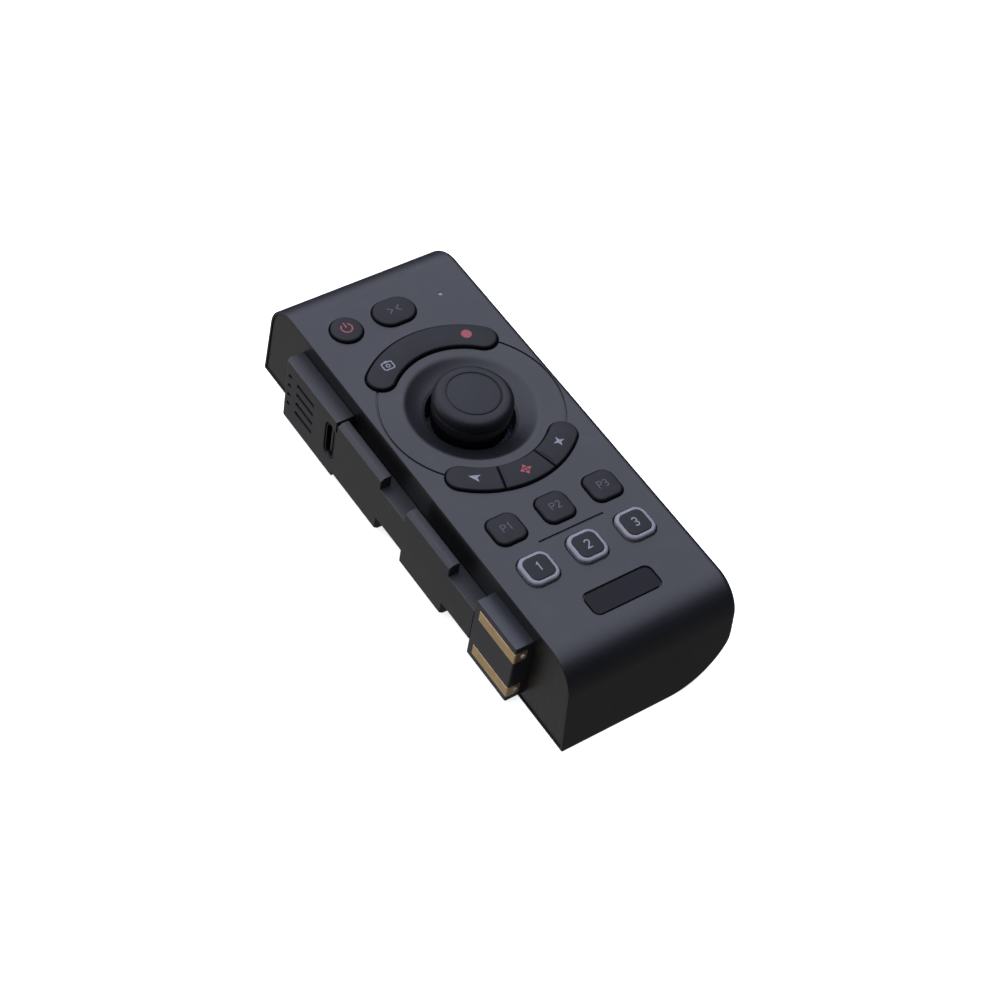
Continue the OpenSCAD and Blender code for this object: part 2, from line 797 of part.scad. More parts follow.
module stud_bore(z, r) { pin_y(rail_x + 1.9, z, r, rail_near - 1, rail_near + 2); }

module contact_block() {
    color("#4d5563") difference() {
        translate([rail_x, block_y[0], block_z[0]])
            cube([plate_out_x - rail_x, block_y[1] - block_y[0], block_z[1] - block_z[0]]);
        for (z = strip_z) {
            strip_form(z, 0);
            stud_bore(z, 0.55);
            pin_x(lead_y, z, 0.6, rail_x - 1, plate_out_x + 1);
        }
    }
}

module contact_strip(z) {
    color("#c9a24f") difference() {
        strip_form(z, strip_proud);
        stud_bore(z, 0.55);
    }
}
module contact_upper() { contact_strip(strip_z[1]); }
module contact_lower() { contact_strip(strip_z[0]); }

module contact_studs() {
    color("#f0ecdf") for (z = strip_z)
        pin_y(rail_x + 1.9, z, 0.52, rail_near - 0.3, rail_near + 1.9);
}

module contact_pins() {
    color("#c9a24f") for (z = strip_z) pin_x(lead_y, z, 0.5, rail_x + strip_t, -16.4);
}

module rail_screws() {
    color("#c4c6ca") for (y = rail_screws_y) {
        pin_x(y, port_z, screw_head_r, plate_in_x, plate_in_x + 1);
        pin_x(y, port_z, screw_r - 0.02, rail_x + 1.6, plate_in_x + eps);
    }
}

module socket_outline(d) {
    r = socket_size[0] / 2 - d;
    translate([port_y, port_z]) rotate(90) stadium((socket_size[1] - socket_size[0]) / 2, r);
}

module usb_socket() {
    color("#b7bac0") {
        difference() {
            along_x(socket_out_x, socket_in_x) socket_outline(0);
            along_x(socket_out_x - 1, socket_in_x - 1) socket_outline(socket_wall);
        }
        translate([socket_out_x + 0.5, port_y - 0.35, port_z - 3.3])
            cube([socket_in_x - 0.5 - socket_out_x - 0.5, 0.7, 6.6]);
    }
}

module port_board() {
    color("#1f5a3a") difference() {
        translate([board_x[0], 8.5, 3]) cube([board_x[1] - board_x[0], 24, 14]);
        along_x(board_x[0] - 1, board_x[1] + 1) translate([port_y - 2, port_z - 5]) square([4, 10]);
    }
}

module port_flex() {
    color("#b5762c") {
        translate([board_x[1], 18, 8]) cube([0.15, 6, 5.9]);
        translate([board_x[1], 18, 13.75]) cube([4.5, 6, 0.15]);
    }
}

module sounder() {
    color("#202124") difference() {
        pin_x(24.3, port_z, 4.4, rail_x + pod_wall + 0.2, plate_out_x - 0.1);
        pin_x(24.3, port_z, 1, rail_x, rail_x + pod_wall + 1);
    }
}

wrap_shell();
side_plate();
base_cover();
base_screws();
badge();
power_key();
mode_key();
rocker_key();
rocker_pin();
arc_key_left();
arc_key_centre();
arc_key_right();
p_key_1();
p_key_2();
p_key_3();
number_key_1();
number_key_2();
number_key_3();
number_cap_1();
number_cap_2();
number_cap_3();
keymat();
tact_switches();
key_leds();
status_led();
light_pipe();
main_pcb();
pcb_screws();
radio_shield();
antenna();
joystick_housing();
gimbal_yoke();
joystick_shaft();
joystick_dome();
joystick_cap();
centring_spring();
axis_sensors();
battery();
battery_connector();
dock_rail();
contact_block();
contact_upper();
contact_lower();
contact_studs();
contact_pins();
rail_screws();
usb_socket();
port_board();
port_flex();
sounder();
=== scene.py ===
"""Looks of a hand-held joystick transmitter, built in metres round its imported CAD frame."""

import json
import math

import bmesh
import bpy
from mathutils import Matrix, Vector


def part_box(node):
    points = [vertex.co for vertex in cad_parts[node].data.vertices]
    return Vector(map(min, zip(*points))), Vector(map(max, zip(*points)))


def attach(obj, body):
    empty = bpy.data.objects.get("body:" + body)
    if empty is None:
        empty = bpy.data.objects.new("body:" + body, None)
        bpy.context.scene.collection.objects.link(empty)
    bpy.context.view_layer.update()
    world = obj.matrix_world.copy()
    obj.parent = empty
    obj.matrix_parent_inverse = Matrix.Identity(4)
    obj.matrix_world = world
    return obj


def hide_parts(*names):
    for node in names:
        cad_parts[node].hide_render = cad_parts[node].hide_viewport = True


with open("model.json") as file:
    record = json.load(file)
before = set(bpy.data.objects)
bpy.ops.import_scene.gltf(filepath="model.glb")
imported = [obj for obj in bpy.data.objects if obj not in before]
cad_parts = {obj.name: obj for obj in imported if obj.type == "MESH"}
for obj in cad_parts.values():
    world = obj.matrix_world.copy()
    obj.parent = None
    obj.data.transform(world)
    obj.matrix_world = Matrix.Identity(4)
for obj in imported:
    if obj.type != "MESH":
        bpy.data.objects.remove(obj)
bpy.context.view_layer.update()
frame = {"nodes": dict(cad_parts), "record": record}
scene = bpy.context.scene
MM = 0.001


def box_mm(node):
    """Low and high corners of a CAD node's box in millimetres."""
    return [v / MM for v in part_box(node)]


# Places and sizes that follow from the frame, in millimetres
shell_lo, shell_hi = box_mm("wrap_shell")
plate_lo, plate_hi = box_mm("side_plate")
rail_lo, rail_hi = box_mm("dock_rail")
block_lo, block_hi = box_mm("contact_block")
cap_lo, cap_hi = box_mm("joystick_cap")
LEFT, RIGHT = shell_lo.x, shell_hi.x
FACE = shell_hi.z


def centre(node):
    """Centre of a CAD node's box in millimetres."""
    lo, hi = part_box(node)
    return (lo + hi) / 2 / MM


# ---- camera, light and floor

AZIMUTH = math.radians(-43.109)
ELEVATION = math.radians(50.2445)
ROLL = math.radians(11.6316)
CAMERA_LOCATION = Vector((-0.2067, -0.2341, 0.3710))
LENS = 86.03
SENSOR = 36


def add_object(name, data):
    """New object, linked into the scene."""
    made = bpy.data.objects.new(name, data)
    scene.collection.objects.link(made)
    return made


def make_camera():
    a, e = AZIMUTH, ELEVATION
    back = Vector((math.sin(a) * math.cos(e), -math.cos(a) * math.cos(e), math.sin(e)))
    flat_right = Vector((math.cos(a), math.sin(a), 0))
    flat_up = back.cross(flat_right)
    right = flat_right * math.cos(ROLL) + flat_up * math.sin(ROLL)
    up = back.cross(right)
    data = bpy.data.cameras.new("camera")
    data.lens = LENS
    data.sensor_width = SENSOR
    data.clip_start = 0.01
    data.clip_end = 20
    camera = add_object("camera", data)
    turn = Matrix((right, up, back)).transposed()
    camera.matrix_world = Matrix.Translation(CAMERA_LOCATION) @ turn.to_4x4()
    scene.camera = camera


def side_light():
    """Soft light from low on the left, for the side wall and the rail."""
    data = bpy.data.lights.new("left_side", "AREA")
    data.shape = "RECTANGLE"
    data.size = data.size_y = 0.3
    data.energy = 0.8
    data.color = (1.0, 0.99, 0.97)
    light = add_object("left_side", data)
    place, target = Vector((-0.50, 0.45, 0.05)), Vector((0, 0.03, 0))
    light.location = place
    light.rotation_euler = (target - place).to_track_quat("-Z", "Y").to_euler()


def set_range(node, *ends):
    """Sets what a Map Range node maps from and to."""
    for key, value in zip(("From Min", "From Max", "To Min", "To Max"), ends):
        node.inputs[key].default_value = value


def glow(tree, axis, start, full, strength, colour):
    """Part of the studio that shines from round one direction, fading out away from it."""
    way = tree.nodes.new("ShaderNodeTexCoord")
    dot = tree.nodes.new("ShaderNodeVectorMath")
    dot.operation = "DOT_PRODUCT"
    dot.inputs[1].default_value = Vector(axis).normalized()
    level = tree.nodes.new("ShaderNodeMapRange")
    level.interpolation_type = "SMOOTHSTEP"
    set_range(level, start, full, 0, strength)
    shine = tree.nodes.new("ShaderNodeBackground")
    shine.inputs["Color"].default_value = (*colour, 1)
    tree.links.new(way.outputs["Generated"], dot.inputs[0])
    tree.links.new(dot.outputs["Value"], level.inputs["Value"])
    tree.links.new(level.outputs["Result"], shine.inputs["Strength"])
    return shine.outputs["Background"]


COOL, WARM = (0.77, 0.80, 1.0), (1.0, 0.99, 0.98)
FILL = 0.018
# Direction of each soft light, the cosines from it where it starts and is full, strength, colour
GLOWS = (
    ((-0.02, 0.42, 0.91), 0.42, 0.80, 2.5, COOL),  # broad softbox over the far end
    ((0.30, -0.60, -0.74), 0.40, 0.80, 0.15, WARM),  # bounce up onto the nose
    ((-0.62, 0.42, -0.66), 0.50, 0.90, 0.32, WARM),  # bounce up onto the left side
)


def make_light():
    """A dark room with a broad cool softbox overhead and weak white bounces from below."""
    world = bpy.data.worlds.new("studio")
    world.use_nodes = True
    tree = world.node_tree
    fill = tree.nodes["Background"]
    fill.inputs["Color"].default_value = (*WARM, 1)
    fill.inputs["Strength"].default_value = FILL
    total = fill.outputs["Background"]
    for way, start, full, strength, colour in GLOWS:
        join = tree.nodes.new("ShaderNodeAddShader")
        tree.links.new(total, join.inputs[0])
        tree.links.new(glow(tree, way, start, full, strength, colour), join.inputs[1])
        total = join.outputs["Shader"]
    tree.links.new(total, tree.nodes["World Output"].inputs["Surface"])
    scene.world = world
    scene.view_settings.view_transform = "Standard"
    side_light()


def white_sheet(name, corners, faces, settings, hidden):
    """A glowing white part of the set, left out of the kinds of ray named in hidden."""
    mesh = bpy.data.meshes.new(name)
    mesh.from_pydata(corners, [], faces)
    material = bpy.data.materials.new(name)
    material.use_nodes = True
    shader = material.node_tree.nodes["Principled BSDF"]
    shader.inputs["Emission Color"].default_value = (1, 1, 1, 1)
    for key, value in settings.items():
        shader.inputs[key].default_value = value
    mesh.materials.append(material)
    sheet = add_object(name, mesh)
    for ray in hidden:
        setattr(sheet, f"visible_{ray}", False)


SQUARE = ((-1, -1), (1, -1), (1, 1), (-1, 1))


def make_floor():
    """The pale floor, which neither lights the object nor shows in it."""
    half = 6
    corners = [(half * x, half * y, 0) for x, y in SQUARE]
    tone = {"Base Color": (0.93, 0.93, 0.93, 1), "Roughness": 0.8, "Emission Strength": 0.75}
    white_sheet("floor", corners, [(0, 1, 2, 3)], tone, ("diffuse", "glossy"))


def make_backdrop():
    """A white surround on the floor for low views, which only the camera sees."""
    half, high = 2.0, 1.5
    corners = [(half * x, half * y, z) for z in (0, high) for x, y in SQUARE]
    walls = [(k, (k + 1) % 4, (k + 1) % 4 + 4, k + 4) for k in range(4)]
    tone = {"Base Color": (0, 0, 0, 1), "Specular IOR Level": 0, "Emission Strength": 1}
    white_sheet("backdrop", corners, walls, tone, ("diffuse", "glossy", "transmission", "shadow"))


make_camera()
make_light()
make_floor()
make_backdrop()

# ---- materials


class Nodes:
    """A material's node tree with short calls for what the finishes below share."""

    def __init__(self, name):
        self.material = bpy.data.materials.new(name)
        self.material.use_nodes = True
        self.tree = self.material.node_tree
        self.shader = self.tree.nodes["Principled BSDF"]
        self.place = self.add("ShaderNodeTexCoord").outputs["Object"]

    def add(self, kind, **settings):
        node = self.tree.nodes.new(kind)
        for key, value in settings.items():
            setattr(node, key, value)
        return node

    def link(self, a, b):
        self.tree.links.new(a, b)

    def set(self, **values):
        for key, value in values.items():
            name = key.replace("_", " ")
            self.shader.inputs[name].default_value = value

    def noise(self, size_mm, detail=3, stretch=(1, 1, 1), rough=0.5):
        """Noise whose features are about size_mm across, or longer along a stretched axis."""
        mapping = self.add("ShaderNodeMapping")
        mapping.inputs["Scale"].default_value = [1 / (size_mm * MM * s) for s in stretch]
        self.link(self.place, mapping.inputs["Vector"])
        node = self.add("ShaderNodeTexNoise")
        node.inputs["Scale"].default_value = 1
        node.inputs["Detail"].default_value = detail
        node.inputs["Roughness"].default_value = rough
        self.link(mapping.outputs["Vector"], node.inputs["Vector"])
        return node.outputs["Fac"]

    def span(self, value, low, high, out_low, out_high):
        node = self.add("ShaderNodeMapRange")
        set_range(node, low, high, out_low, out_high)
        self.link(value, node.inputs["Value"])
        return node.outputs["Result"]

    def mix(self, factor, a, b):
        node = self.add("ShaderNodeMix", data_type="RGBA")
        self.link(factor, node.inputs["Factor"])
        for socket, value in ((node.inputs[6], a), (node.inputs[7], b)):
            if isinstance(value, tuple):
                socket.default_value = (*value, 1)
            else:
                self.link(value, socket)
        return node.outputs[2]

    def tones(self, value, low, high, colour, dark, light):
        """Runs from dark to light times a colour as the value goes from low to high."""
        return self.mix(self.span(value, low, high, 0, 1), shade(colour, dark), shade(colour, light))

    def math(self, operation, a, b):
        node = self.add("ShaderNodeMath", operation=operation)
        for socket, value in zip(node.inputs, (a, b)):
            if isinstance(value, (int, float)):
                socket.default_value = value
            else:
                self.link(value, socket)
        return node.outputs[0]

    def bump(self, height, depth_mm, strength=1.0, under=None):
        node = self.add("ShaderNodeBump")
        node.inputs["Strength"].default_value = strength
        node.inputs["Distance"].default_value = depth_mm * MM
        self.link(height, node.inputs["Height"])
        if under is not None:
            self.link(under, node.inputs["Normal"])
        return node.outputs["Normal"]

    def colour(self, socket):
        self.link(socket, self.shader.inputs["Base Color"])

    def roughness(self, socket):
        self.link(socket, self.shader.inputs["Roughness"])

    def normal(self, socket):
        self.link(socket, self.shader.inputs["Normal"])


def shade(colour, by):
    return tuple(c * by for c in colour)


def moulded(name, colour, rough, grain_mm=0.16, depth_mm=0.006, wear=1.0, spread=0.12, gloss=0.5):
    """Spark-textured moulded plastic: fine grain, slow tone drift and faint rubbed patches."""
    n = Nodes(name)
    grain = n.noise(grain_mm, 2)
    pits = n.noise(grain_mm * 3, 3)
    drift = n.noise(18, 2)
    scuff = n.noise(5, 5, rough=0.65)
    tone = n.tones(drift, 0.35, 0.65, colour, 1 - spread, 1 + spread)
    worn = n.span(scuff, 0.60, 0.78, 0, 0.30 * wear)
    tone = n.mix(worn, tone, shade(colour, 1.45))
    tone = n.mix(n.span(grain, 0.3, 0.7, 0, 0.35), tone, shade(colour, 0.78))
    n.colour(tone)
    base = n.span(drift, 0.3, 0.7, rough - 0.03, rough + 0.03)
    n.roughness(n.math("ADD", base, n.span(scuff, 0.55, 0.8, 0, -0.07 * wear)))
    fine = n.bump(grain, depth_mm)
    n.normal(n.bump(pits, depth_mm * 1.2, 0.5, fine))
    n.set(Specular_IOR_Level=gloss)
    return n.material


def grained(name, colour, rough, along):
    """Satin plastic with a fine directional grain along one axis."""
    n = Nodes(name)
    stretch = [1, 1, 1]
    stretch["xyz".index(along)] = 40
    lines = n.noise(0.22, 4, stretch, 0.6)
    speck = n.noise(0.12, 2)
    drift = n.noise(14, 3)
    tone = n.tones(lines, 0.35, 0.65, colour, 0.80, 1.22)
    tone = n.mix(n.span(drift, 0.35, 0.7, 0, 0.5), tone, shade(colour, 1.2))
    n.colour(tone)
    n.roughness(n.span(lines, 0.3, 0.7, rough - 0.06, rough + 0.07))
    fine = n.bump(speck, 0.004)
    n.normal(n.bump(lines, 0.006, 0.8, fine))
    return n.material


def rubber(name, colour, rough):
    """Soft-touch rubber with a fine skin and a little settled dust."""
    n = Nodes(name)
    skin = n.noise(0.10, 3)
    dust = n.noise(0.9, 4, rough=0.7)
    drift = n.noise(6, 2)
    tone = n.tones(drift, 0.3, 0.7, colour, 0.88, 1.15)
    tone = n.mix(n.span(dust, 0.62, 0.8, 0, 0.25), tone, shade(colour, 2.2))
    n.colour(tone)
    n.roughness(n.span(drift, 0.3, 0.7, rough - 0.04, rough + 0.05))
    n.normal(n.bump(skin, 0.006))
    n.set(Specular_IOR_Level=0.27)
    return n.material


def metal(name, colour, rough, along="y", depth_mm=0.003, tarnish=0.2):
    """Metal with drawing marks along one axis and a little tarnish."""
    n = Nodes(name)
    stretch = [1, 1, 1]
    stretch["xyz".index(along)] = 30
    marks = n.noise(0.08, 4, stretch, 0.6)
    cloud = n.noise(1.6, 4)
    tone = n.mix(n.span(cloud, 0.4, 0.75, 0, tarnish * 2), colour, shade(colour, 0.55))
    n.colour(tone)
    brushed = n.span(marks, 0.3, 0.7, rough - 0.06, rough + 0.08)
    n.roughness(n.math("ADD", brushed, n.span(cloud, 0.4, 0.8, 0, 0.12)))
    n.normal(n.bump(marks, depth_mm))
    n.set(Metallic=1.0)
    return n.material


def translucent(name, colour, rough):
    """Pale light-guiding key plastic: a little light gets through its skin."""
    n = Nodes(name)
    cloud = n.noise(1.4, 3)
    skin = n.noise(0.12, 2)
    n.colour(n.tones(cloud, 0.3, 0.7, colour, 0.93, 1.06))
    n.roughness(n.span(cloud, 0.3, 0.7, rough - 0.04, rough + 0.06))
    n.normal(n.bump(skin, 0.003))
    n.set(Subsurface_Weight=0.35, Subsurface_Scale=0.0008)
    return n.material


def ink(name, colour):
    """Pad-printed ink: matt, slightly uneven."""
    n = Nodes(name)
    patch = n.noise(0.25, 3)
    n.colour(n.tones(patch, 0.35, 0.7, colour, 0.8, 1.1))
    n.roughness(n.span(patch, 0.3, 0.7, 0.5, 0.62))
    n.normal(n.bump(patch, 0.003))
    return n.material


def board(name):
    """Green solder mask with faint copper tracks under it."""
    n = Nodes(name)
    mapping = n.add("ShaderNodeMapping")
    mapping.inputs["Scale"].default_value = (420, 420, 420)
    n.link(n.place, mapping.inputs["Vector"])
    cells = n.add("ShaderNodeTexVoronoi", feature="DISTANCE_TO_EDGE", distance="CHEBYCHEV")
    cells.inputs["Scale"].default_value = 1
    n.link(mapping.outputs["Vector"], cells.inputs["Vector"])
    track = n.span(cells.outputs["Distance"], 0.05, 0.09, 1, 0)
    n.colour(n.mix(track, (0.004, 0.022, 0.012), (0.010, 0.05, 0.024)))
    n.roughness(n.span(n.noise(2, 3), 0.3, 0.7, 0.28, 0.42))
    n.normal(n.bump(track, 0.02))
    return n.material


SLATE = (0.0075, 0.0077, 0.0098)
GRAPHITE = (0.004, 0.004, 0.004)
KEY_GREY = (0.006, 0.0062, 0.0078)
# How each slot is finished: the kind of material, its colour, its roughness and what else it takes
finishes = {
    "shell": (moulded, SLATE, 0.44),
    "side_wall": (grained, GRAPHITE, 0.35, "z"),
    "cover": (moulded, (0.022, 0.022, 0.024), 0.50, 0.25, 0.012),
    "badge": (moulded, (0.006, 0.0065, 0.009), 0.60, 0.14, 0.006, 1.0, 0.12, 0.17),
    "key": (moulded, KEY_GREY, 0.56, 0.12, 0.004, 0.8, 0.12, 0.28),
    "key_pale": (translucent, (0.185, 0.19, 0.205), 0.42),
    "silicone": (rubber, (0.28, 0.29, 0.31), 0.55),
    "switch": (metal, (0.62, 0.63, 0.64), 0.35),
    "led": (translucent, (0.16, 0.165, 0.17), 0.25),
    "board": (board,),
    "screw": (metal, (0.55, 0.56, 0.58), 0.32, "z"),
    "screw_black": (metal, (0.045, 0.045, 0.048), 0.42, "z"),
    "steel": (metal, (0.68, 0.69, 0.71), 0.24, "z"),
    "copper_flex": (metal, (0.55, 0.29, 0.11), 0.42),
    "gimbal_case": (moulded, (0.02, 0.02, 0.022), 0.45),
    "yoke": (moulded, (0.55, 0.53, 0.48), 0.38, 0.2, 0.003, 0.3, 0.04),
    "dome": (moulded, (0.0028, 0.0029, 0.0034), 0.30, 0.12, 0.002, 0.3),
    "thumb_cap": (rubber, (0.0085, 0.0088, 0.0105), 0.46),
    "sensor": (moulded, (0.03, 0.08, 0.2), 0.35, 0.2, 0.003, 0.3),
    "battery": (metal, (0.55, 0.56, 0.58), 0.38, "y", 0.02, 0.15),
    "connector": (moulded, (0.66, 0.63, 0.55), 0.42, 0.2, 0.003, 0.3, 0.05),
    "rail": (moulded, (0.017, 0.017, 0.018), 0.44, 0.15, 0.005),
    "contact_plastic": (moulded, (0.016, 0.0165, 0.021), 0.38, 0.14, 0.003),
    "gold": (metal, (0.80, 0.58, 0.31), 0.38, "y", 0.003, 0.25),
    "socket": (metal, (0.075, 0.076, 0.08), 0.36, "x"),
    "speaker": (moulded, (0.012, 0.012, 0.013), 0.6),
}
finish = {slot: kind(slot, *values) for slot, (kind, *values) in finishes.items()}
pale_ink = ink("pale_ink", (0.055, 0.057, 0.068))
white_ink = ink("white_ink", (0.22, 0.225, 0.25))
red_ink = ink("red_ink", (0.29, 0.045, 0.05))

# ---- mesh tools, in millimetres


def to_mesh(bm, name="part"):
    bmesh.ops.recalc_face_normals(bm, faces=bm.faces)
    mesh = bpy.data.meshes.new(name)
    bm.to_mesh(mesh)
    bm.free()
    return mesh


def make_object(name, bm, body, slot, replaces=(), smooth_deg=32, material=None):
    """Turns a bmesh drawn in millimetres into a finished piece that rides on a body."""
    mesh = to_mesh(bm, name)
    mesh.transform(Matrix.Scale(MM, 4))
    mesh.materials.append(material or finish[slot])
    mesh.polygons.foreach_set("use_smooth", [True] * len(mesh.polygons))
    mesh.set_sharp_from_angle(angle=math.radians(smooth_deg))
    piece = add_object(name, mesh)
    weighted = piece.modifiers.new("weighted", "WEIGHTED_NORMAL")
    weighted.keep_sharp = True
    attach(piece, body)
    if replaces:
        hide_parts(*replaces)


def loft(bm, loops, wrap=False):
    """Skins loops of equal length, each a list of 3-D points, and closes it with caps or a wrap."""
    rings = [[bm.verts.new(p) for p in loop] for loop in loops]
    pairs = list(zip(rings, rings[1:]))
    if wrap:
        pairs.append((rings[-1], rings[0]))
    for a, b in pairs:
        count = len(a)
        for i in range(count):
            j = (i + 1) % count
            bm.faces.new((a[i], a[j], b[j], b[i]))
    if not wrap:
        bm.faces.new(list(reversed(rings[0])))
        bm.faces.new(rings[-1])


def loft_mesh(loops):
    bm = bmesh.new()
    loft(bm, loops)
    return to_mesh(bm)


def revolve(bm, profile, steps=128, centre_at=(0, 0)):
    """Turns an open profile of (radius, height) about Z; a radius of 0 closes to a point."""
    cx, cy = centre_at
    turns = [2 * math.pi * i / steps for i in range(steps)]
    rings = []
    for r, z in profile:
        used = turns if r > 1e-6 else turns[:1]
        rings.append([bm.verts.new((cx + r * math.cos(a), cy + r * math.sin(a), z)) for a in used])
    for a, b in zip(rings, rings[1:]):
        for i in range(steps):
            j = (i + 1) % steps
            corners = [a[i % len(a)], a[j % len(a)], b[j % len(b)], b[i % len(b)]]
            kept = [v for k, v in enumerate(corners) if v not in corners[:k]]
            if len(kept) > 2:
                bm.faces.new(kept)


def arc(cx, cy, r, start, end, steps):
    """Points of an arc, with its angles in degrees."""
    turns = [math.radians(start + (end - start) * i / steps) for i in range(steps + 1)]
    return [(cx + r * math.cos(t), cy + r * math.sin(t)) for t in turns]


def round_rect(hx, hy, r, steps=8):
    r = max(r, 0.02)
    loop = []
    for k, (sx, sy) in enumerate(((1, 1), (-1, 1), (-1, -1), (1, -1))):
        loop += arc(sx * (hx - r), sy * (hy - r), r, 90 * k, 90 * k + 90, steps)
    return loop


def stadium(half, r):
    """Slot along X with its end centres at plus and minus half."""
    return arc(half, 0, r, -90, 90, 20) + arc(-half, 0, r, 90, 270, 20)


def inset_polygon(points, d):
    """Moves every edge of an anticlockwise polygon inward by d."""
    count = len(points)
    lines = []
    for i in range(count):
        p, q = Vector(points[i]), Vector(points[(i + 1) % count])
        along = (q - p).normalized()
        inward = Vector((-along.y, along.x))
        lines.append((p + inward * d, along))
    out = []
    for i in range(count):
        (p, u), (q, v) = lines[i - 1], lines[i]
        cross = u.x * v.y - u.y * v.x
        t = ((q.x - p.x) * v.y - (q.y - p.y) * v.x) / cross
        out.append((p.x + u.x * t, p.y + u.y * t))
    return out


def edge_steps(radius, steps=4):
    """(inset, depth) pairs of a quarter-round edge, from its outer face inwards."""
    turns = [math.pi / 2 * i / steps for i in range(steps + 1)]
    return [(radius * (1 - math.sin(t)), radius * (1 - math.cos(t))) for t in turns]


def boolean(target, tool, operation="DIFFERENCE"):
    """Applies one exact boolean of two millimetre meshes and returns the new mesh."""
    a, b = (add_object("boolean", mesh) for mesh in (target, tool))
    modifier = a.modifiers.new("cut", "BOOLEAN")
    modifier.operation = operation
    modifier.solver = "EXACT"
    modifier.object = b
    graph = bpy.context.evaluated_depsgraph_get()
    made = bpy.data.meshes.new_from_object(a.evaluated_get(graph))
    bpy.data.objects.remove(a)
    bpy.data.objects.remove(b)
    return made


def along_z(u, v, h):
    return (u, v, h)


def along_x(y, z, h):
    return (h, y, z)


def along_y(x, z, h):
    return (x, h, z)


def skin(bm, outline, levels, place=along_z):
    """Skins outline(step) through its levels of (step, height)."""
    loft(bm, [[place(*p, h) for p in outline(step)] for step, h in levels])


def bar(bm, outline, lo, hi, r_lo, r_hi, place=along_z):
    """Solid between two heights of an outline(inset), with its two end edges rounded."""
    levels = [(0, lo)]
    if r_lo:
        levels = [(inset, lo + depth) for inset, depth in edge_steps(r_lo, 3)]
    if r_hi:
        levels += [(inset, hi - depth) for inset, depth in reversed(edge_steps(r_hi, 3))]
    else:
        levels.append((0, hi))
    skin(bm, outline, levels, place)


def fillet(a, b, c, r, steps=4):
    """Arc of radius r that rounds the corner b between a and c."""
    a, b, c = Vector(a), Vector(b), Vector(c)
    u, v = (a - b).normalized(), (c - b).normalized()
    half = math.acos(max(-1.0, min(1.0, u.dot(v)))) / 2
    reach = r / math.tan(half)
    middle = b + (u + v).normalized() * (r / math.sin(half))
    start, end = b + u * reach - middle, b + v * reach - middle
    first = math.atan2(start.y, start.x)
    sweep = (math.atan2(end.y, end.x) - first + math.pi) % (2 * math.pi) - math.pi
    turns = [first + sweep * k / steps for k in range(steps + 1)]
    return [(middle.x + r * math.cos(t), middle.y + r * math.sin(t)) for t in turns]


def rounded(points, radii, steps=4):
    """Anticlockwise polygon with a radius at each corner, as a function of its inset."""
    def outline(inset):
        moved = inset_polygon(points, inset)
        count = len(moved)
        out = []
        for i, r in enumerate(radii):
            a, b, c = moved[i - 1], moved[i], moved[(i + 1) % count]
            turn = (b[0] - a[0]) * (c[1] - b[1]) - (b[1] - a[1]) * (c[0] - b[0])
            out += fillet(a, b, c, max(r - inset if turn > 0 else r + inset, 0.02), steps)
        return out
    return outline


def box_outline(x0, x1, y0, y1, r):
    return rounded([(x0, y0), (x1, y0), (x1, y1), (x0, y1)], [r] * 4)


# ---- body shell

WALL, FLOOR = 1.6, 2.4
NOSE_Y, NOSE_R, NOSE_SLOPE = -55.3, 7.6, 6.7
TAIL_Y, TAIL_R, TAIL_SLOPE = 35.5, 7.7, 4
GRIP_R = 14.5
EDGE_R = 1.5
FAR_CORNER_R = 1.4
BASE_EDGE_R = 0.25
LEFT_EDGE_R = 0.15
GRIP_X = RIGHT - GRIP_R
UNDER = FACE - WALL
RIM = 0.6
RIM_GAP = 0.06
LIP = 0.22


def side_loop(inset, base, tail_in=0.0):
    """Outline of the body's side in Y and Z: nose rounding, top, far rounding and bottom."""
    nose_r, tail_r = NOSE_R - inset, TAIL_R - inset
    nose = arc(NOSE_Y, FACE - NOSE_R, nose_r, 180 - NOSE_SLOPE, 90, 28)
    tail = arc(TAIL_Y - tail_in, FACE - TAIL_R, tail_r, 90, TAIL_SLOPE, 20)
    nose_base = (nose[0][0] - (nose[0][1] - base) * math.tan(math.radians(NOSE_SLOPE)), base)
    tail_base = (tail[-1][0] + (tail[-1][1] - base) * math.tan(math.radians(TAIL_SLOPE)), base)
    corner_a = fillet(tail[-1], tail_base, nose_base, BASE_EDGE_R)
    corner_b = fillet(tail_base, nose_base, nose[0], BASE_EDGE_R)
    return nose + tail + corner_a + corner_b


def grip_base(x, r=GRIP_R):
    """Height of the bottom surface at x, which rises round the grip edge."""
    reach = min(max(x - GRIP_X, 0), r)
    return GRIP_R - math.sqrt(r * r - reach * reach)


def far_corner(x):
    """How far the far end pulls in at x for the corner seen from above."""
    reach = min(max(x - RIGHT + FAR_CORNER_R, 0), FAR_CORNER_R)
    return FAR_CORNER_R - math.sqrt(FAR_CORNER_R ** 2 - reach * reach)


def outer_form():
    """Outside of the body, skinned across X from the left wall to the grip side."""
    stations = [(LEFT + depth, inset, inset) for inset, depth in edge_steps(LEFT_EDGE_R, 4)]
    bend = math.degrees(math.asin((GRIP_R - EDGE_R) / GRIP_R))
    for k in range(21):
        t = math.radians(bend * k / 20)
        stations.append((GRIP_X + GRIP_R * math.sin(t), 0, None))
    for inset, depth in reversed(edge_steps(EDGE_R, 12)):
        if depth < EDGE_R - 1e-6:
            stations.append((RIGHT - depth, inset, None))
    loops = []
    for x, inset, base in stations:
        base = grip_base(x) if base is None else base
        tail_in = max(far_corner(x) - inset, 0)
        loops.append([(x, y, z) for y, z in side_loop(inset, base, tail_in)])
    return loft_mesh(loops)


